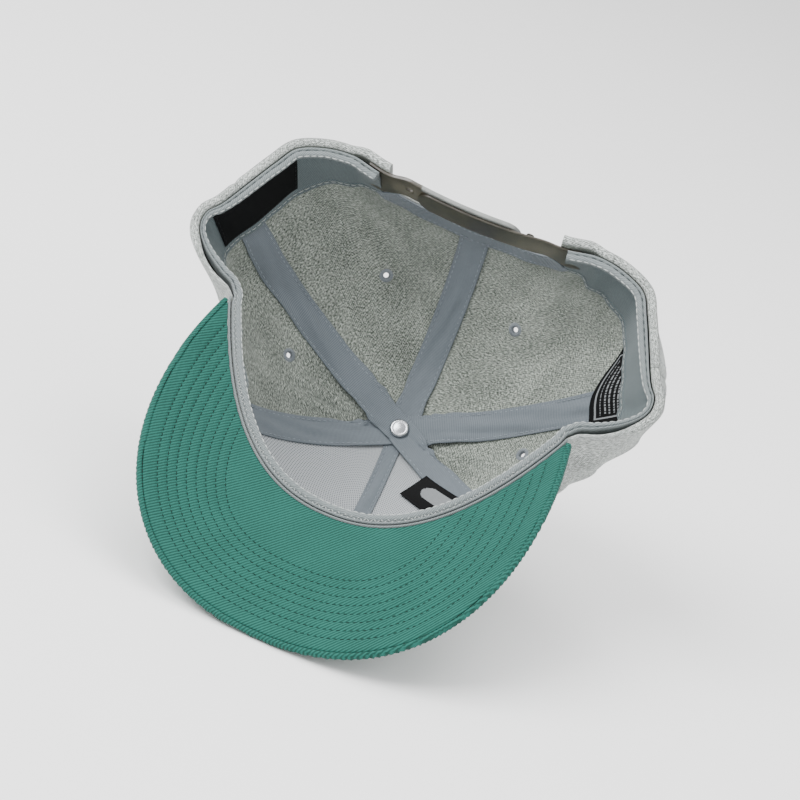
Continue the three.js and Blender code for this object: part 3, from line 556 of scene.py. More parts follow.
def mesh_cloth(name, hole, thread, pitch):
    """Open stiff net: rows of small dark holes between pale threads."""
    finish, tree, shader = new_finish(name, 0.85, 0.1)
    one, two = (waves(tree, weave_place(tree, turn), pitch, 0.25) for turn in (32, -58))
    net = blend_values(tree, "MULTIPLY", one, two, 1.0)
    grain = noise(tree, weave_place(tree), 0.8, 2)
    net = blend_values(tree, "MIX", net, grain, 0.15)
    tint = colours(tree, net, [(0.25, thread), (0.75, hole)])
    paint(tree, shader, tint, net, -0.2, 0.6)
    return finish


heather_outside = heather("heather_outside", "#3b3e3b", "#868b88", "#cdd1ce", 0.75)
heather_inside = heather("heather_inside", "#3a3f39", "#747a73", "#b0b6ac", 0.7)
buckram = mesh_cloth("buckram", "#4a4d50", "#a7abae", 1.25)
tape_cloth = ribbed("tape_cloth", "#596066", "#6c747a", 0.55, 90, 0.06, 0.5, 0.65, 0.15, 0.25)
band_cloth = ribbed("band_cloth", "#3c4648", "#616b6d", 0.75, 52, 0.12, 0.4, 0.5, 0.15, 0.4)
piping_cloth = ribbed("piping_cloth", "#555c5d", "#767d7e", 0.8, 52, 0.12, 0.5, 0.7, 0.15, 0.3)
green_twill = ribbed("green_twill", "#133a32", "#215b51", 1.15, -38, 0.15, 0.7, 0.85, 0.02, 0.35)
label_cloth = ribbed("label_cloth", "#040405", "#08090a", 0.35, 0, 0.04, 0.2, 0.7, 0.0, 0.1)


def plain_thread(name, low, high):
    finish, tree, shader = new_finish(name, 0.6, 0.03)
    twist = waves(tree, weave_place(tree, 30), 0.3, 0.3)
    tint = colours(tree, twist, [(0.2, low), (0.8, high)])
    paint(tree, shader, tint, twist, 0.05, 0.6)
    return finish


grey_thread = plain_thread("grey_thread", "#757c84", "#8f969c")
green_thread = plain_thread("green_thread", "#021a14", "#062a22")
pale_thread = plain_thread("pale_thread", "#9ba19f", "#b9bdbb")
dark_thread = plain_thread("dark_thread", "#2e3435", "#434a4b")

# %% [markdown]
# The strap is smoke-coloured plastic that lets some light through, and the rivet is polished metal. Both
# get very fine scratches, because a perfectly clean surface looks painted. A paler, less clear copy of
# the plastic paints a highlight on a strip along the strap's upper edge.


# %% Build the plastic and the metal
def smoke_plastic(name, low, high, clear, roughness):
    finish, tree, shader = new_finish(name, roughness, 0.0, 0.5)
    shader.inputs["IOR"].default_value = 1.5
    shader.inputs["Transmission Weight"].default_value = clear
    cloudy = noise(tree, weave_place(tree), 0.15, 3, 0.6)
    tint = colours(tree, cloudy, [(0.3, low), (0.7, high)])
    fine = noise(tree, weave_place(tree, 0, (0.3, 3, 1)), 1.5, 4, 0.6)
    paint(tree, shader, tint, fine, 0.03, 0.4)
    return finish


def polished_metal():
    finish, tree, shader = new_finish("polished_metal", 0.2, 0.0, 0.5)
    shader.inputs["Metallic"].default_value = 1.0
    scratches = noise(tree, weave_place(tree, 20, (4, 0.3, 1)), 1.2, 4, 0.6)
    tint = colours(tree, scratches, [(0.3, "#9a9da1"), (0.7, "#b4b7ba")])
    paint(tree, shader, tint, scratches, 0.02, 0.5)
    return finish


strap_plastic = smoke_plastic("smoke_plastic", "#4b473c", "#625c4d", 0.7, 0.3)
# Painted highlight: a paler grey, rougher and less clear copy of the smoke plastic. It stands in for the light
# that up-facing plastic catches.
strap_highlight_plastic = smoke_plastic("painted_highlight_plastic", "#777a77", "#898c89", 0.2, 0.5)
rivet_metal = polished_metal()

# %% [markdown]
# Each crown panel is one loft. A section runs from the button down the outside to the rim, over the rolled
# edge and back up the inside, and the sections stand side by side round the crown. The back panels stop at
# the arch.


# %% Cut the arch over the back opening
arch_roundness = 0.77
arch_power = 2 / arch_roundness


def arch_reach(point):
    """Less than one inside the arch."""
    across = np.abs(point[..., 0]) / arch_half_width
    down = np.maximum(-point[..., 2], 0) / arch_height
    return across**arch_power + down**arch_power


def arch_share(azimuth):
    """How far from the button the cloth goes before it meets the arch."""
    azimuth = np.asarray(azimuth, float)
    low, high = np.full_like(azimuth, 0.5), np.ones_like(azimuth)
    behind = np.abs(wrap(azimuth)) > 140
    cut = behind & (arch_reach(crown_point(azimuth, high)) < 1)
    for _ in range(24):
        middle = (low + high) / 2
        outside = arch_reach(crown_point(azimuth, middle)) > 1
        low, high = np.where(outside, middle, low), np.where(outside, high, middle)
    return np.where(cut, low, 1.0)


# %% Loft the crown panels
turned_thickness = 4.1
panel_rows = 84
crown_arc = 150
stitch_inset = 1.4


def turned_edge(azimuth, share):
    """The cloth is thicker where its edge is turned in at the rim."""
    turned = rearward(azimuth, 88, 96)
    by_opening = rearward(azimuth, 142, 146)
    at_edge = smoothstep(share, 0.88, 0.95)
    extra = turned_thickness - cloth
    outward = (extra * by_opening + 0.5 * turned * (1 - by_opening)) * at_edge
    return cloth + extra * turned * at_edge, outward


def panel_columns(start, stop):
    """Directions of the sections, closer together where the arch's sides are steep."""
    steep = np.concatenate([np.arange(150, 158, 0.16), np.arange(202, 210, 0.16)])
    steep = np.concatenate([steep, steep - 360])
    steep = steep[(steep > start) & (steep < stop)]
    return np.unique(np.round(np.concatenate([np.arange(start, stop, 0.8), steep, [stop]]), 3))


def crown_panel(name, start, stop, node):
    azimuth = panel_columns(start, stop)
    end = arch_share(azimuth) - 0.02 * (1 - rearward(azimuth, 80, 88))
    share = 0.012 + (end[:, None] - 0.012) * np.linspace(0, 1, panel_rows) ** 0.92
    columns = azimuth[:, None] * np.ones((1, panel_rows))
    radius = button_distance(crown_point(columns, share))
    near_seam = np.minimum(columns - start, stop - columns) * math.pi / 180 * radius
    inset = np.degrees((fit / 2) / np.maximum(radius, 2))
    columns = np.clip(columns, start + inset, stop - inset)
    seam_dip = 0.5 * bump(near_seam, 0, 1.3) - 0.12 * bump(near_seam, 3.4, 1.6)
    thickness, outward = turned_edge(columns, share)
    outside = inside_crown(columns, share, seam_dip - outward)
    inside = inside_crown(columns, share, thickness - outward)
    heading = unit(outside[:, -1] - outside[:, -2])
    middle = (outside[:, -1] + inside[:, -1]) / 2
    half = (inside[:, -1] - outside[:, -1]) / 2
    bulge = np.where(end > 0.975, 1.0, 0.35)[:, None] * np.linalg.norm(half, axis=-1, keepdims=True)
    bulge = heading * bulge
    turns = np.linspace(0, math.pi, 8)[1:-1]
    over = np.stack([middle - half * math.cos(t) + bulge * math.sin(t) * 0.9 for t in turns], axis=1)
    pull_back = -bulge * 0.6
    outside[:, -1] += pull_back
    inside[:, -1] += pull_back
    over += pull_back[:, None]
    sections = np.concatenate([outside, over, inside[:, ::-1]], axis=1)
    mark = [0] * (panel_rows + len(turns)) + [1] * panel_rows
    over_edge = 1 + np.cumsum(np.full((len(azimuth), len(turns)), 0.006), axis=1)
    along = np.concatenate([share, over_edge, 1.05 + (1 - share[:, ::-1])], axis=1) * crown_arc
    gore = np.radians(columns - (start + stop) / 2) * radius
    round_place = np.concatenate([gore, gore[:, [-1] * len(turns)], gore[:, ::-1]], axis=1)
    weave = np.stack([round_place, along, np.zeros_like(along)], axis=-1)
    return loft(name, sections, [heather_outside, heather_inside], [node], mark=mark,
                weave=weave)


panels = {
    "front_right_panel": (seams["front"], seams["front_right"]),
    "side_right_panel": (seams["front_right"], seams["back_right"]),
    "back_right_panel": (seams["back_right"], seams["back"]),
    "back_left_panel": (seams["back"] - 360, seams["back_left"]),
    "side_left_panel": (seams["back_left"], seams["front_left"]),
    "front_left_panel": (seams["front_left"], seams["front"]),
}
panel_pieces = {name: crown_panel(f"{name}_cloth", *ends, name) for name, ends in panels.items()}
print("panels", sum(len(p.data.polygons) for p in panel_pieces.values()), "faces")


def outside_stitches():
    """The rows that hold the tapes show on the outside too, a little away from each seam."""
    for name, azimuth in seams.items():
        last = float(arch_share(np.array([azimuth]))[0]) - 0.05 if name == "back" else 0.95
        share = np.linspace(0.07, last, 200)
        radius = button_distance(crown_point(np.full(200, azimuth), share))
        for side in (-1, 1):
            row = azimuth + side * np.degrees((tape_width / 2 - stitch_inset) / np.maximum(radius, 6))
            sew(f"{name}_outside_stitches_{side + 1}", inside_crown(row, share, -0.05),
                -crown_normal(row, share), grey_thread, "crown_cloth", (1.9, 0.9, 0.2, 0.08))


outside_stitches()

# %% [markdown]
# Behind the front panels lies a stiff pale net. It follows the crown one cloth's thickness further in, with
# the same lofted section, only thinner.


# %% Line the front with stiff net
net_thickness = 0.6
stiff_near = cloth + fit
stiff_far = stiff_near + net_thickness
lining_end = 0.88


def lining(name, start, stop, node):
    azimuth = np.linspace(start + 0.4, stop - 0.4, 64)[:, None]
    share = np.linspace(0.03, lining_end, 70)
    sections = shell(inside_crown(azimuth, share, stiff_far), inside_crown(azimuth, share, stiff_near))
    loft(name, sections, [buckram], [node])


lining("front_right_net", seams["front"], seams["front_right"], "front_right_stiffener")
lining("front_left_net", seams["front_left"], seams["front"], "front_left_stiffener")

# %% [markdown]
# Tapes cover the seams. Two of them cross the button from side to side, so each is drawn as one strip in
# plan, a straight line that bends a little at the middle, and then pressed onto the crown.


# %% Lay a strip on the crown
over_net = stiff_far + fit
tape_thickness = 0.6
tape_step = tape_thickness + fit
narrow_tape_width = 8.0


def share_at(azimuth, radius):
    """The share at which the dome of the crown is this far from the button, seen from above."""
    return dome_share * np.arcsin(np.clip(radius / dome_reach(azimuth), 0, 1)) * 2 / math.pi


def tape_depth(level, azimuth, share):
    over_front = 1 - rearward(azimuth, 66, 84)
    lowest = stiff_near + (over_net - stiff_near) * over_front
    raised = over_net + level * tape_step
    return raised + (lowest - raised) * smoothstep(share, 0.1, 0.2)


def strip_place(azimuth, share, aside):
    """Direction and share of a point aside of a seam's line, in millimetres."""
    radius = dome_reach(azimuth) * np.sin(np.clip(share / dome_share, 0, 1) * math.pi / 2)
    turn = np.degrees(np.arctan2(aside, np.maximum(radius, 0.01)))
    away = np.hypot(aside, radius)
    near_button = 1 - smoothstep(share, 0.25, 0.45)
    place = share + (share_at(azimuth + turn, away) - share) * near_button
    return azimuth + turn, place


def half_tape(azimuth, level, width, start, stop, count):
    share = np.linspace(start, stop, count)
    shares, asides = np.meshgrid(share, np.linspace(-width / 2, width / 2, 17), indexing="ij")
    directions, places = strip_place(azimuth, shares, asides)
    depth = tape_depth(level, directions, places)
    edge = np.abs(asides) / (width / 2)
    seam_ridge = 0.35 * bump(asides, 0, 2.2) * smoothstep(shares, 0.12, 0.25)
    stitched = -0.2 * bump(np.abs(asides), width / 2 - stitch_inset, 0.7)
    ripple = 0.16 * np.sin(shares * 70 + azimuth) * np.sin(asides * 0.5 + shares * 9) * (1 - edge**4)
    ripple += 0.4 * bump(shares, 0.3, 0.16) * (1 - edge**4) * np.sin(asides * 0.8 + shares * 26 + azimuth)
    far = inside_crown(directions, places, depth + tape_thickness + seam_ridge + stitched + ripple)
    near = inside_crown(directions, places, depth)
    weave = np.stack([asides, shares * 150, np.zeros_like(asides)], axis=-1)
    stitch_rows = []
    for side in (-1, 1):
        direction, place = strip_place(azimuth, share, np.full(count, side * (width / 2 - stitch_inset)))
        line = inside_crown(direction, place, tape_depth(level, direction, place) + tape_thickness - 0.12)
        stitch_rows.append((line, crown_normal(direction, place)))
    return far, near, weave, stitch_rows


def tape(name, node, ends, level, width, start, stop):
    """A tape with one or two ends; the two halves of a crossing tape meet at the button."""
    halves = [half_tape(azimuth, level, width, start, end, 90) for azimuth, end in zip(ends, stop)]
    if len(halves) == 2:
        first, second = halves
        turned = [first[0], first[1], first[2] * [-1, -1, 1]]
        far, near, weave = (np.concatenate([a[::-1, ::-1], b]) for a, b in zip(turned, second))
    else:
        far, near, weave, _ = halves[0]
    loft(name, shell(far, near), [tape_cloth], [node], weave=shell(weave, weave))
    for number, half in enumerate(halves):
        for side, (line, off) in enumerate(half[3]):
            first_point = int(len(line) * (0.06 if len(halves) == 2 else 0.02))
            sew(f"{name}_stitches_{number}{side}", line[first_point:], off[first_point:], grey_thread,
                "seam_tape", (1.9, 0.9, 0.2, 0.1))


tape("front_tape", "seam_tape_front", [seams["front"]], 0, narrow_tape_width, 0.022, [lining_end])
tape("back_tape", "seam_tape_back", [seams["back"]], 0, tape_width, 0.022, [0.685])
tape("middle_tape", "seam_tape_middle", [seams["front_left"], seams["back_right"]], 1, tape_width, 0.002,
     [lining_end, lining_end])
tape("top_tape", "seam_tape_top", [seams["back_left"], seams["front_right"]], 2, tape_width, 0.002,
     [lining_end, lining_end])

# %% [markdown]
# The sweatband is a strip of satin twill sewn round the rim. Its rolled top edge has two ridges with a
# zigzag stitch between, then a puckered step, then the flat band with a folded and stitched hem that waves
# a little.


# %% Sew in the sweatband
strap_thickness = 1.2
strap_height = 20.0


def band_gap(azimuth):
    behind_peak = rearward(azimuth, 80, 90)
    wide = max(roll + fit, cloth + strap_thickness + 2 * fit)
    return cloth + fit + (wide - cloth - fit) * behind_peak


def edge_point(azimuth, inward, down):
    azimuth, inward, down = grids(azimuth, inward, down)
    point = inside_crown(azimuth, np.ones(azimuth.shape), band_gap(azimuth) + inward)
    point[..., 2] = read_rim(azimuth)[1] - down
    return point


def hem_point(azimuth, inward):
    reach = read_rows(hem_rows, 1, azimuth) * rim_half_width
    return polar(azimuth, reach - inward, read_rim(azimuth)[1] - band_depth)


def band_wave(azimuth, share):
    """Soft waves towards the hem and fine puckers at the top, in millimetres."""
    turn = np.radians(azimuth)
    soft = 0.9 * np.sin(turn * 11 + 0.6) + 0.6 * np.sin(turn * 23 + 2) + 0.3 * np.sin(turn * 41)
    pucker = 0.3 * np.sin(turn * 150 + 3 * np.sin(turn * 13)) * bump(share, 0.1, 0.12)
    tuck = 1.8 * bump(azimuth, 95 + 8 * share, 1.8) + bump(azimuth, 141, 1.5)
    return np.maximum(soft * 0.8 * share, -0.75) + pucker + tuck * smoothstep(share, 0.05, 0.35)


band_end = float(rim_direction(arch_half_width + 3))
hem_row = 0.93
upright = np.array([0, 0, 1.0])


def band_inside(azimuth, share, off=0.0):
    """The band's inner face, from under the ridges (0) to the hem (1), and off it towards the hollow."""
    azimuth, share = grids(azimuth, share)
    top = edge_point(azimuth, band_thickness, edge_roll_height + 0.6)
    hem = hem_point(azimuth, band_thickness)
    inward = unit(hem - hem_point(azimuth, 0.0))
    hem_fold = 0.4 * smoothstep(share, 0.86, 0.89) - 0.5 * bump(share, hem_row, 0.012)
    out = band_wave(azimuth, share) + hem_fold + off
    return top + (hem - top) * share[..., None] + inward * out[..., None]


def ridge_place(azimuth, inward, down):
    """The ridge at the rim: pushed outwards in front, and narrower where the rim turns beside the peak."""
    front = 1 - rearward(azimuth, 80, 88)
    narrow = 1 - 0.5 * bump(np.abs(azimuth), 97, 11)
    return edge_point(azimuth, 0.7 + (inward - 0.7) * narrow - 1.5 * front, down - 0.2 * front)


def front_edge():
    """The pale fold that covers the crown's edge over the peak."""
    azimuth = np.arange(-83, 83.1, 0.5)
    profile = [
        # inward from the crown's outside, down
        (-0.3, 3.4), (-0.45, 1.2), (-0.4, 0.2), (-0.1, -0.45), (0.3, -0.6), (0.6, -0.35), (0.6, 0.0), (0.2, 0.0),
        (-0.1, 1.2), (-0.1, 3.4),
    ]
    sections = np.stack([edge_point(azimuth, i - cloth - fit, d) for i, d in profile], axis=1)
    loft("front_edge_fold", sections, [piping_cloth], ())


def sweatband():
    azimuth = np.arange(-band_end, band_end, 0.5)
    around = azimuth[:, None]
    down_rows = np.concatenate([np.linspace(0, 0.84, 22), np.linspace(0.86, 1, 12)])
    outer_top = edge_point(around, 0, edge_roll_height)
    outer_hem = hem_point(around, 0.0)
    outer = outer_top + (outer_hem - outer_top) * down_rows[None, :, None]
    inner = band_inside(around, down_rows[None, :])
    size = len(down_rows)
    profile = [
        # inward, down: a narrow ridge, a groove and a flatter strip
        (0.7, 2.4), (0.75, 1.0), (1.0, 0.2), (1.4, -0.1), (1.9, 0.1), (2.25, 1.1), (2.6, 0.2), (3.2, 0.0),
        (4.0, 0.05), (4.7, 0.35), (5.1, 1.2), (4.9, 2.6), (3.6, 4.4), (2.2, 5.3),
    ]
    ridge = np.stack([ridge_place(azimuth, i, d) for i, d in profile], axis=1)
    turn = np.radians(azimuth)
    flutter = 0.14 * np.sin(turn * 170 + 2 * np.sin(turn * 11))
    flutter += 0.2 * np.sin(turn * 37 + 3 * np.sin(turn * 5))
    ridge[:, 5:13, 2] += flutter[:, None]
    sections = np.concatenate([outer[:, ::-1], ridge, inner], axis=1)
    mark = [0] * size + [1] * 13 + [0] * (size + 1)
    loft("sweatband_cloth", sections, [band_cloth, piping_cloth], ["sweatband"], mark=mark)
    away = polar(azimuth, -1.0, 0.0) - polar(azimuth, 0.0, 0.0)
    sew("hem_stitches", band_inside(azimuth, hem_row, 0.45), away, pale_thread, "band_cloth",
        (2.6, 0.5, 0.2, 0.1))
    corner = ridge_place(azimuth, 4.85, 0.75)
    corner[:, 2] += flutter
    sew("ridge_stitches", corner, upright + away, pale_thread, "band_cloth", (2.8, 0.3, 0.26, 0.06))
    for number, side in enumerate((-1, 1)):
        reach = np.linspace(side * 84, side * (band_end - 0.5), 900)
        sew(f"groove_stitches_{number}", ridge_place(reach, 2.25, 0.6), upright, dark_thread, "band_cloth",
            (2.2, 1.4, 0.32, 0.05))
    fine = np.arange(-84, 84, 0.18)
    lined = np.arange(len(fine))
    zig = np.where((lined // 6) % 2 == 0, (lined % 6) / 6, 1 - (lined % 6) / 6)
    sew("zigzag_stitches", edge_point(fine, 0.1 + 1.3 * zig, 0.0), upright, pale_thread, "band_cloth",
        (1.5, 0.35, 0.16, 0.02))


sweatband()
front_edge()

# %% [markdown]
# The peak's green under cover is twill held down by rows of stitches that run parallel to the outer edge.
# The rows are modelled as shallow channels with thread in them, so the cloth swells between the rows as it
# does on a cap.


# %% Draw the peak's outline on its flat pattern
def peak_outline(share):
    share = np.asarray(share, float)
    side, along = np.sign(share), np.abs(share)
    turn = math.pi / 2 * (1 - np.minimum(along / 0.7, 1))
    front_across = peak_half_width * np.cos(turn) ** 0.83
    front_forward = -peak_shoulder + (peak_reach + peak_shoulder) * np.sin(turn) ** 0.83
    rear = np.clip((along - 0.7) / 0.3, 0, 1)
    rear_across = peak_half_width + (end_arc - peak_half_width) * rear**1.67
    rear_forward = -peak_shoulder + (peak_shoulder - peak_inset) * rear
    across = np.where(along < 0.7, front_across, rear_across)
    forward = np.where(along < 0.7, front_forward, rear_forward)
    return side * across, forward


def peak_edge_curve(count=700):
    """The outer edge as points of the flat pattern, evenly spaced from the left end to the right."""
    share = np.sin(np.linspace(-math.pi / 2, math.pi / 2, 4001))
    across, forward = peak_outline(share)
    curve = np.column_stack([across, forward])
    travelled = lengths_along(curve, 0)
    even = np.linspace(0, travelled[-1], count)
    return np.column_stack([np.interp(even, travelled, curve[:, k]) for k in range(2)])


edge_curve = peak_edge_curve()
edge_heading = unit(np.gradient(edge_curve, axis=0))
for _ in range(30):
    edge_heading[1:-1] = (edge_heading[:-2] + edge_heading[1:-1] * 2 + edge_heading[2:]) / 4
edge_heading = unit(edge_heading)
edge_inward = np.column_stack([edge_heading[:, 1], -edge_heading[:, 0]])
print("peak edge", round(float(lengths_along(edge_curve, 0)[-1])), "mm long")


def edge_distance(across, forward):
    """Distance from places on the flat pattern to its outer edge."""
    places = np.stack([across.ravel(), forward.ravel()], axis=1)
    nearest = np.full(len(places), 1e9)
    for start in range(0, len(places), 4000):
        block = places[start:start + 4000]
        gaps = np.linalg.norm(block[:, None] - edge_curve[None, ::2], axis=-1)
        nearest[start:start + 4000] = gaps.min(axis=1)
    return nearest.reshape(across.shape)


# %% Cover the peak
row_pitch = 4.3
first_row = 8.3
row_count = 8
edge_rib_pitch = 1.25


def peak_grid(columns, rows, inside):
    """Places from the rim's curve to a distance inside the outer edge."""
    bend = math.pi / 2 * 0.98
    column = 0.985 * np.sin(np.linspace(-bend, bend, columns)) / math.sin(bend)
    outer_across, outer_forward = peak_outline(column)
    across = column * end_arc
    forward = rim_forward(across)
    length = np.hypot(outer_across - across, outer_forward - forward)
    reach = 1 - np.minimum(inside / length, 0.8)
    ease = np.asarray(rows)[None, :] * reach[:, None]
    return (across[:, None] + (outer_across - across)[:, None] * ease,
            forward[:, None] + (outer_forward - forward)[:, None] * ease)


def channel_depth(distance):
    """How far the stitched rows sink into the cloth."""
    number = np.clip(np.round((distance - first_row) / row_pitch), 0, row_count - 1)
    off = distance - (first_row + number * row_pitch)
    return 0.32 * bump(off, 0, 0.75)


def peak_piece(name, node, across, forward, top, bottom):
    """A layer of the peak between two lifts, its weave straight on the flat pattern."""
    flat = np.stack([across, forward, np.zeros_like(across)], axis=-1)
    sections = shell(peak_point(across, forward, top), peak_point(across, forward, bottom))
    loft(name, sections, [green_twill], [node], weave=shell(flat, flat))


def under_cover_piece():
    across, forward = peak_grid(250, np.linspace(0, 1, 142), lip_width + fit)
    distance = edge_distance(across, forward)
    roll_off = 0.55 * bump(distance, lip_width, 0.9)
    ripple = 0.05 * np.sin(across * 1.9 + forward * 0.7) * np.sin(forward * 1.3)
    lift = -channel_depth(distance) - roll_off + ripple
    peak_piece("peak_under_cloth", "peak_under_cover", across, forward, lift, -under_cover)


def upper_cover_piece():
    """The board and its cover: flat below, wrapped round the edge, with ribs across the wrap."""
    across, forward = peak_grid(720, np.linspace(0, 1, 52), 0.0)
    distance = edge_distance(across, forward)
    wrapped = 1 - smoothstep(distance, lip_width + 0.1, lip_width + fit)
    column = lengths_along(np.stack([across[:, -1], forward[:, -1]], axis=-1), 0)[:, None]
    ribs = 0.16 * np.sin(column * 2 * math.pi / edge_rib_pitch + 1.5 * np.sin(column * 0.21)) * wrapped
    rounding = 1.35 * np.clip(1 - distance / 1.6, 0, 1) ** 2.2
    top = (wrapped - 1) * (under_cover + fit) + ribs - rounding
    bottom = -peak_thickness + rounding - ribs * 0.6
    peak_piece("peak_upper_cloth", "peak_upper_cover", across, forward, top, bottom)


def peak_row(inside, lift):
    """A line parallel to the outer edge, kept where the peak shows."""
    line = edge_curve + edge_inward * inside
    across, forward = line[:, 0], line[:, 1]
    side = np.abs(across)
    shown = (side < end_arc * 0.985) & (forward > rim_forward(across) + 1.2) | (side > end_arc)
    shown &= edge_distance(across, forward) > inside - 0.25
    first, last = np.argmax(shown), len(shown) - np.argmax(shown[::-1])
    places = peak_point(across, forward, lift)[first:last]
    return places, peak_point(across, forward, lift + 1.0)[first:last] - places


under_cover_piece()
upper_cover_piece()
for number in range(row_count):
    sew(f"peak_row_{number}", *peak_row(first_row + number * row_pitch, -0.3), green_thread, "peak_cloth",
        (1.9, 0.75, 0.2, 0.08))
sew("peak_edge_row", *peak_row(lip_width + 0.15, -0.75), green_thread, "peak_cloth", (2.2, 0.9, 0.24, 0.08))

# %% [markdown]
# The arch over the strap is bound with the same tape. To lay a strip along the arch, each place of it,
# given from behind as a side and a height, has to be found on the crown. A few rounds of correction do
# that.


# %% Bind the arch
def back_place(across, height):
    """Direction and share of the crown at a side and a height, at the back."""
    across, height = grids(across, height)
    azimuth = 180 - np.degrees(np.arcsin(np.clip(np.abs(across) / 85, 0, 1)))
    for _ in range(16):
        depth = dome_depth(azimuth)
        fullness = read_rows(profile_rows, 3, azimuth)
        drop = np.clip((-height - depth) / (crown_depth - depth), 0, 1)
        spread = (1 - drop**fullness) ** (1 / fullness)
        dome = dome_share * np.arcsin(spread) * 2 / math.pi
        share = np.where(height > -depth, dome_share + (1 - dome_share) * (1 + height / depth), dome)
        radius = button_distance(crown_point(azimuth, share))
        azimuth = 180 - np.degrees(np.arcsin(np.clip(np.abs(across) / radius, 0, 1)))
    return np.where(across < 0, -azimuth, azimuth), share


binding_width = 9.0
binding_thickness = 0.9
binding_rows = (1.3, 7.7)


def arch_line(turn, margin):
    across = (arch_half_width + margin) * np.sign(np.cos(turn)) * np.abs(np.cos(turn)) ** arch_roundness
    height = -(arch_height + margin) * np.sin(turn) ** arch_roundness
    return across, height


def binding():
    turn = np.linspace(0.02, math.pi - 0.02, 360)
    turn = turn[arch_line(turn, 0)[1] < -strap_height - 1.2]
    turns, margins = np.meshgrid(turn, np.linspace(0, binding_width, 15), indexing="ij")
    direction, share = back_place(*arch_line(turns, margins))
    near = cloth + fit
    across = np.sin(margins / binding_width * math.pi)
    dent = sum(0.25 * bump(margins, row, 0.5) for row in binding_rows)
    swell = 0.25 * across**0.5 - dent + 0.12 * np.sin(turns * 60 + 2 * np.sin(turns * 9)) * across
    far_face = inside_crown(direction, share, near + binding_thickness - 0.2 + swell)
    loft("arch_binding", shell(far_face, inside_crown(direction, share, near)), [tape_cloth],
         ["back_opening_binding"])
    for number, row in enumerate(binding_rows):
        direction, share = back_place(*arch_line(turn, row))
        line = inside_crown(direction, share, near + binding_thickness - 0.1)
        sew(f"arch_stitches_{number}", line, crown_normal(direction, share), grey_thread, "seam_tape",
            (1.8, 0.9, 0.2, 0.1))


binding()

# %% [markdown]
# The straps are smoke-coloured plastic. One has round holes, the other has pegs that stand in them. Each
# strap is a loft with a rounded section, and a boolean cuts the holes, which keeps their walls clean.

# %% Make the straps
strap_top = 0.5
strap_lean = math.radians(7)
strap_bow = 3.3
strap_tab = 9.0
strap_double = -25.0
outer_thickness = 1.9
inner_lowered = 1.6
peg_pitch = 9.5
peg_places = -21 + peg_pitch * np.arange(6)
strap_line = float(inside_crown(rim_direction(arch_half_width), 1, cloth + strap_thickness)[1]) - fit


def span_point(across, down, out):
    bow = strap_bow * (1 - (across / arch_half_width) ** 2)
    return np.stack(np.broadcast_arrays(
        across,
        strap_line - bow + down * math.sin(strap_lean) + out * math.cos(strap_lean),
        -strap_top - down * math.cos(strap_lean) + out * math.sin(strap_lean),
    ), axis=-1)


def sewn_point(across, down, within):
    azimuth = np.sign(across) * rim_direction(np.abs(across))
    share = dome_share + (1 - dome_share) * (1 - (strap_top + down) / dome_depth(azimuth))
    return inside_crown(azimuth, share, cloth + fit + strap_thickness - within)


def strap(name, side, free_end, inner, node, thick, low=0.0):
    """A strap from its sewn end to its rounded free end, its upper edge lowered by low."""
    half = (strap_height - low) / 2
    middle = half + low
    straight = free_end + side * half * 0.7
    rounded = np.linspace(0, 1, 26)[1:] * math.radians(89)
    across = np.concatenate([np.linspace(side * (arch_half_width + strap_tab), straight, 130),
                             straight + (free_end - straight) * np.sin(rounded)])
    halves = np.concatenate([np.full(130, half), half * np.cos(rounded)])
    corner = np.radians([0, 30, 60, 90])
    edge = 0.45
    lines = []
    for down_sign, within_sign in ((1, 1), (-1, 1), (-1, -1), (1, -1)):
        turns = corner if down_sign * within_sign > 0 else corner[::-1]
        for turn in turns:
            lines.append((down_sign, within_sign, 1 - math.cos(turn), 1 - math.sin(turn)))
        if down_sign < 0 and within_sign < 0:
            lines.append((down_sign, within_sign, 5.5, 0.0))
    loop = []
    for down_sign, within_sign, from_end, from_face in lines:
        down = middle + down_sign * np.maximum(halves - edge * from_end, 0.02)
        within = thick / 2 + within_sign * (thick / 2 - edge * from_face)
        free = span_point(across, down, inner + within)
        sewn = smoothstep(np.abs(across) / arch_half_width, 0.72, 0.97)[:, None]
        loop.append(free * (1 - sewn) + sewn_point(across, down + inner_lowered, within) * sewn)
    sections = np.stack(loop, axis=1)
    # The upper edge strip of the outer strap, where it lies over the other strap, gets the pale plastic, a
    # painted highlight.
    upper = [here[0] < 0 and following[0] < 0 for here, following in zip(lines, lines[1:] + lines[:1])]
    mark = ((across >= strap_double) & (low == 0))[:, None] & np.array(upper)
    return loft(name, sections, [strap_plastic, strap_highlight_plastic], [node], mark=mark)


def circle(axis, hint, count):
    """Directions round an axis, the first at right angles to the hint, and their angles."""
    turn = np.linspace(0, 2 * math.pi, count, endpoint=False)
    side = unit(np.cross(axis, hint))
    return np.cos(turn)[:, None] * side + np.sin(turn)[:, None] * np.cross(axis, side), turn


def turned_piece(name, centres, axis, profile, sides, finish, nodes=(), ripple=None):
    """Turned shapes: the profile gives radius and height along the axis."""
    axis = unit(np.asarray(axis, float))
    ring, turn = circle(axis, [1, 0, 0.2], sides)
    radius, height = np.array(profile, float).T
    count = len(profile)
    points, faces, weave = [], [], []
    for centre in centres:
        rings = centre + axis * height[:, None, None] + radius[:, None, None] * ring
        if ripple is not None:
            rings = ripple(rings, turn)
        base = len(points)
        points.extend(rings.reshape(-1, 3))
        for k in range(count):
            weave.extend((radius[k] * math.cos(t), radius[k] * math.sin(t), k * 0.3) for t in turn)
        faces += tube_faces(base, count, sides)
    return add_mesh(name, np.array(points), faces, np.array(weave), [finish], nodes)


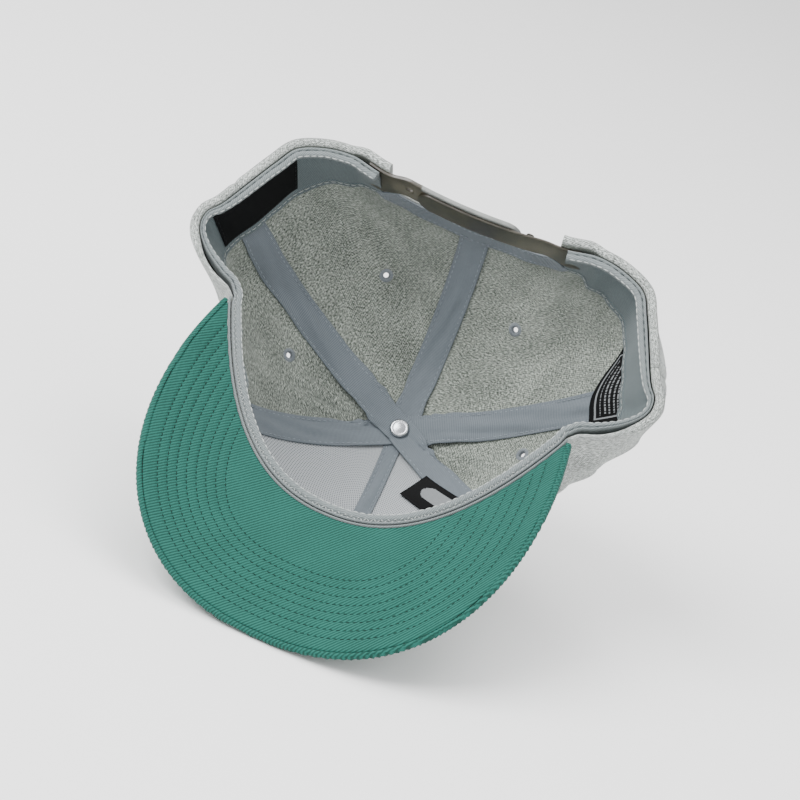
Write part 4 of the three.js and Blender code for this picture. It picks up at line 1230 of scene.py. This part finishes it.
def cut(piece, cutter):
    """Takes the cutter's shape out of the piece for good."""
    change = piece.modifiers.new("cut", "BOOLEAN")
    change.operation = "DIFFERENCE"
    change.solver = "EXACT"
    change.object = cutter
    shape = bpy.data.meshes.new_from_object(piece.evaluated_get(bpy.context.evaluated_depsgraph_get()))
    piece.modifiers.clear()
    shape.set_sharp_from_angle(angle=math.radians(40))
    old = piece.data
    piece.data = shape
    bpy.data.meshes.remove(old)
    bpy.data.objects.remove(cutter)
    print(piece.name, "cut:", len(shape.polygons), "faces")


strap_out = np.array([0, math.cos(strap_lean), math.sin(strap_lean)])
outer_strap = strap("strap_with_holes_plastic", -1, 22.5, strap_thickness + fit, "strap_with_holes",
                    outer_thickness)
hole_middles = [span_point(x, strap_height / 2, strap_thickness + fit) for x in peg_places - peg_pitch]
hole_profile = [(2.2, -1.0), (2.2, 3.4)]
cut(outer_strap, turned_piece("hole_cutter", hole_middles, strap_out, hole_profile, 40, strap_plastic))
strap("strap_with_pegs_plastic", 1, -26.0, 0.0, "strap_with_pegs", strap_thickness, inner_lowered)
peg_middles = [span_point(x, strap_height / 2, strap_thickness) for x in peg_places]
peg_profile = [(0.4, -0.6), (1.55, -0.6), (1.55, 0.3), (1.5, 2.2), (1.8, 2.5), (1.85, 2.75), (1.6, 3.05),
               (1.0, 3.25), (0.3, 3.3)]
turned_piece("strap_pegs", peg_middles, strap_out, peg_profile, 32, strap_plastic)

# %% [markdown]
# Eyelets are worked with thread: close satin stitches lie over the edge of a round hole. The ring below
# gets one ridge for each stitch. The hole is cut through the panel, so light comes through it as it does on
# the real cap.

# %% Work the eyelets
eyelets = [("side_left", -94, 0.288), ("side_right", 94, 0.288), ("back_left", -150, 0.387),
           ("back_right", 151, 0.387)]
eyelet_radius = 2.5
eyelet_stitches = 46
eyelet_thread = plain_thread("eyelet_thread", "#5d6368", "#8b9196")


def eyelet(name, azimuth, share):
    normal = crown_normal(np.array(azimuth), np.array(share))
    centre = inside_crown(azimuth, share, cloth / 2)
    loop = np.radians(np.arange(0, 360, 20))
    ring, turn = circle(normal, [0.3, 1, 0.1], eyelet_stitches * 6)
    ridge = 1 + 0.1 * np.abs(np.sin(turn * eyelet_stitches / 2))
    ridge = (ridge + 0.1 * np.sin(turn * 17 + azimuth) * np.sin(turn * 5))[:, None]
    radius = eyelet_radius + 1.15 * np.cos(loop) * ridge
    height = 1.2 * np.sin(loop) * (1 - 0.25 * np.cos(loop)) * ridge
    sections = centre + ring[:, None] * radius[..., None] + normal * height[..., None]
    loft(f"eyelet_{name}_thread", sections, [eyelet_thread], [f"eyelet_{name}"], ring=True)
    cutter = turned_piece("eyelet_cutter", [centre], normal, [(2.3, -8), (2.3, 8)], 36, eyelet_thread)
    cut(panel_pieces[f"{name}_panel"], cutter)


for name, azimuth, share in eyelets:
    eyelet(name, azimuth, share)

# %% [markdown]
# A cloth-covered button closes the crown from outside, and a metal rivet holds it from inside. Both are
# turned shapes. The real rivet is stamped; here its face is plain.

# %% Set the button and its rivet
button_middle = np.array([0, button_back, -crown_depth])
rivet_seat = 5.7
button_profile = [(0.3, -4.3), (2.0, -4.25), (3.6, -4.0), (5.1, -3.5), (6.2, -2.8), (6.9, -1.9), (7.15, -1.1),
                  (7.0, -0.5), (6.5, -0.05), (5.5, 0.1), (3.0, 0.1), (1.6, 0.1), (1.6, rivet_seat - 0.3)]


def pleats(rings, turn):
    """The cloth is gathered under the button, so small pleats run out to its edge."""
    centre = rings.mean(axis=1, keepdims=True)
    outward = rings - centre
    reach = np.linalg.norm(outward, axis=-1, keepdims=True)
    amount = 0.012 * np.sin(turn * 22)[None, :, None] * (reach > 5.5)
    return centre + outward * (1 + amount)


turned_piece("button_cover", [button_middle], [0, 0, 1], button_profile, 132, heather_outside, ["top_button"],
             pleats)
rivet_profile = [(4.1, 0.0), (4.5, 0.2), (4.6, 0.5), (4.45, 0.85), (4.1, 1.15), (3.7, 1.32), (3.3, 1.3),
                 (3.0, 1.25), (2.4, 1.32), (1.4, 1.42), (0.2, 1.45)]
turned_piece("rivet_metal", [button_middle + [0, 0, rivet_seat]], [0, 0, 1], rivet_profile, 72, rivet_metal,
             ["button_rivet"])

# %% [markdown]
# Three woven labels of smooth black satin. Two have their edges folded under, and the third hangs with a free
# edge. They carry plain lines only.


# %% Sew in the labels
def label(node, far, near, lines=None):
    """lines: which of the far face's points are woven pale."""
    sections = shell(far, near)
    mark = np.zeros(sections.shape[:2], int)
    if lines is not None:
        mark[:, :far.shape[1]] = lines
    loft(f"{node}_cloth", sections, [label_cloth, label_line], [node], mark=mark)


def edge_swell(edge, height, folded, dip, end):
    """Higher over the edge that is folded under, and lower again further in."""
    return height * smoothstep(edge, 0, folded) - dip * smoothstep(edge, folded, end)


label_line = plain_thread("label_line", "#6c6f71", "#8b8e90")
label_thickness = 0.4


def sweatband_label():
    columns, rows = np.meshgrid(np.linspace(-130, -105, 90), np.linspace(0.05, 0.82, 46), indexing="ij")
    edge = np.minimum(np.minimum(columns + 130, -105 - columns) / 25,
                      np.minimum(rows - 0.05, 0.82 - rows) / 0.8)
    columns = columns + 1.0 + 2.2 * rows
    swell = edge_swell(edge, 0.25, 0.06, 0.15, 0.1)
    calm = -band_wave(columns, rows) * 0.5
    far = band_inside(columns, rows, 0.65 + swell + calm)
    near = band_inside(columns, rows, 0.3 + calm)
    label("sweatband_label", far, near)
    down = np.linspace(0.07, 0.8, 60)
    for number, at in enumerate((-129.2, -105.8)):
        line = band_inside(at + 1.0 + 2.2 * down, down, 0.95)
        sew(f"sweatband_label_stitches_{number}", line, polar(at, -1.0, 0.0) - polar(at, 0.0, 0.0),
            label_thread, "label_cloth", (1.6, 0.8, 0.18, 0.08))


def plan_place(corners, u, v):
    """A place inside four corners given as direction and share, seen from above."""
    plan = [polar(a, float(dome_reach(a)) * math.sin(s / dome_share * math.pi / 2), 0.0) for a, s in corners]
    at = (plan[0] * ((1 - u) * (1 - v))[..., None] + plan[1] * (u * (1 - v))[..., None]
          + plan[2] * (u * v)[..., None] + plan[3] * ((1 - u) * v)[..., None])
    across, ahead = at[..., 0], button_back - at[..., 1]
    azimuth = np.degrees(np.arctan2(across, ahead))
    return azimuth, share_at(azimuth, np.hypot(across, ahead))


def front_label():
    corners = [(51, 0.162), (62, 0.39), (46, 0.4), (24, 0.196)]
    u, v = np.meshgrid(np.linspace(0, 1, 70), np.linspace(0, 1, 44), indexing="ij")
    azimuth, share = plan_place(corners, u, v)
    edge = np.minimum(np.minimum(u, 1 - u), np.minimum(v, 1 - v))
    base = tape_depth(2, azimuth, share) + tape_thickness + fit
    swell = edge_swell(edge, 0.2, 0.05, 0.12, 0.09)
    bar_end = np.maximum(np.abs(u - 0.56) - 0.27, 0)
    bar = np.hypot(bar_end * 1.6, v - 0.41) < 0.24
    label("front_label", inside_crown(azimuth, share, base + label_thickness + swell),
          inside_crown(azimuth, share, base), bar)


def care_label():
    azimuth, along = np.meshgrid(np.linspace(101, 129, 110), np.linspace(0, 1, 110), indexing="ij")
    start = 0.41 + 0.24 * (np.maximum(azimuth - 109, 0) / 20) ** 1.8
    share = start + (0.7 - start) * along
    free = 1 - smoothstep(along, 0, 0.7)
    curl = 1.6 * free**2 + 0.5 * free * np.sin(np.radians(azimuth) * 20)
    base = tape_depth(1, azimuth, share) + tape_thickness + fit + curl
    across = (azimuth - 101) / 28
    frame_gap = np.minimum(np.minimum(across - 0.16, 0.7 - across), np.minimum(along - 0.05, 0.4 - along))
    lines = np.abs(frame_gap) < 0.006
    for number, stop in enumerate((0.66, 0.6, 0.64, 0.5, 0.68, 0.6)):
        line = (np.abs(along - 0.1 - 0.05 * number) < 0.008) & (across > 0.2) & (across < stop)
        lines |= line & (np.sin(across * 260 + number * 2) > -0.5)
    label("care_label", inside_crown(azimuth, share, base + label_thickness),
          inside_crown(azimuth, share, base), lines)


label_thread = plain_thread("label_thread", "#0d0e10", "#1b1d20")
sweatband_label()
front_label()
care_label()

# %% [markdown]
# A pale floor and soft light from large lamps, as in a product photograph on white.

# %% Set up the floor and the light
floor_finish, _, floor_shader = new_finish("floor_finish", 0.9)
floor_shader.inputs["Base Color"].default_value = (0.9, 0.9, 0.9, 1)
floor_mesh = bpy.data.meshes.new("floor")
floor_mesh.from_pydata([(-40, -40, 0), (40, -40, 0), (40, 40, 0), (-40, 40, 0)], [], [(0, 1, 2, 3)])
floor_mesh.materials.append(floor_finish)
floor = bpy.data.objects.new("floor", floor_mesh)
bpy.context.scene.collection.objects.link(floor)

world = bpy.data.worlds.new("soft_room")
bpy.context.scene.world = world
world.use_nodes = True
world.node_tree.nodes["Background"].inputs["Color"].default_value = (1, 1, 1, 1)
world.node_tree.nodes["Background"].inputs["Strength"].default_value = 1.3


def lamp(name, place, size, power):
    data = bpy.data.lights.new(name, "AREA")
    data.size = size
    data.energy = power
    light = bpy.data.objects.new(name, data)
    bpy.context.scene.collection.objects.link(light)
    light.location = place
    light.rotation_euler = (Vector((0, 0, 0.08)) - Vector(place)).to_track_quat("-Z", "Y").to_euler()


lamp("key", (-1.1, -0.9, 1.6), 1.3, 72)
lamp("fill", (1.4, -0.6, 1.2), 1.4, 11)
lamp("top", (0.1, 0.3, 2.1), 1.6, 30)
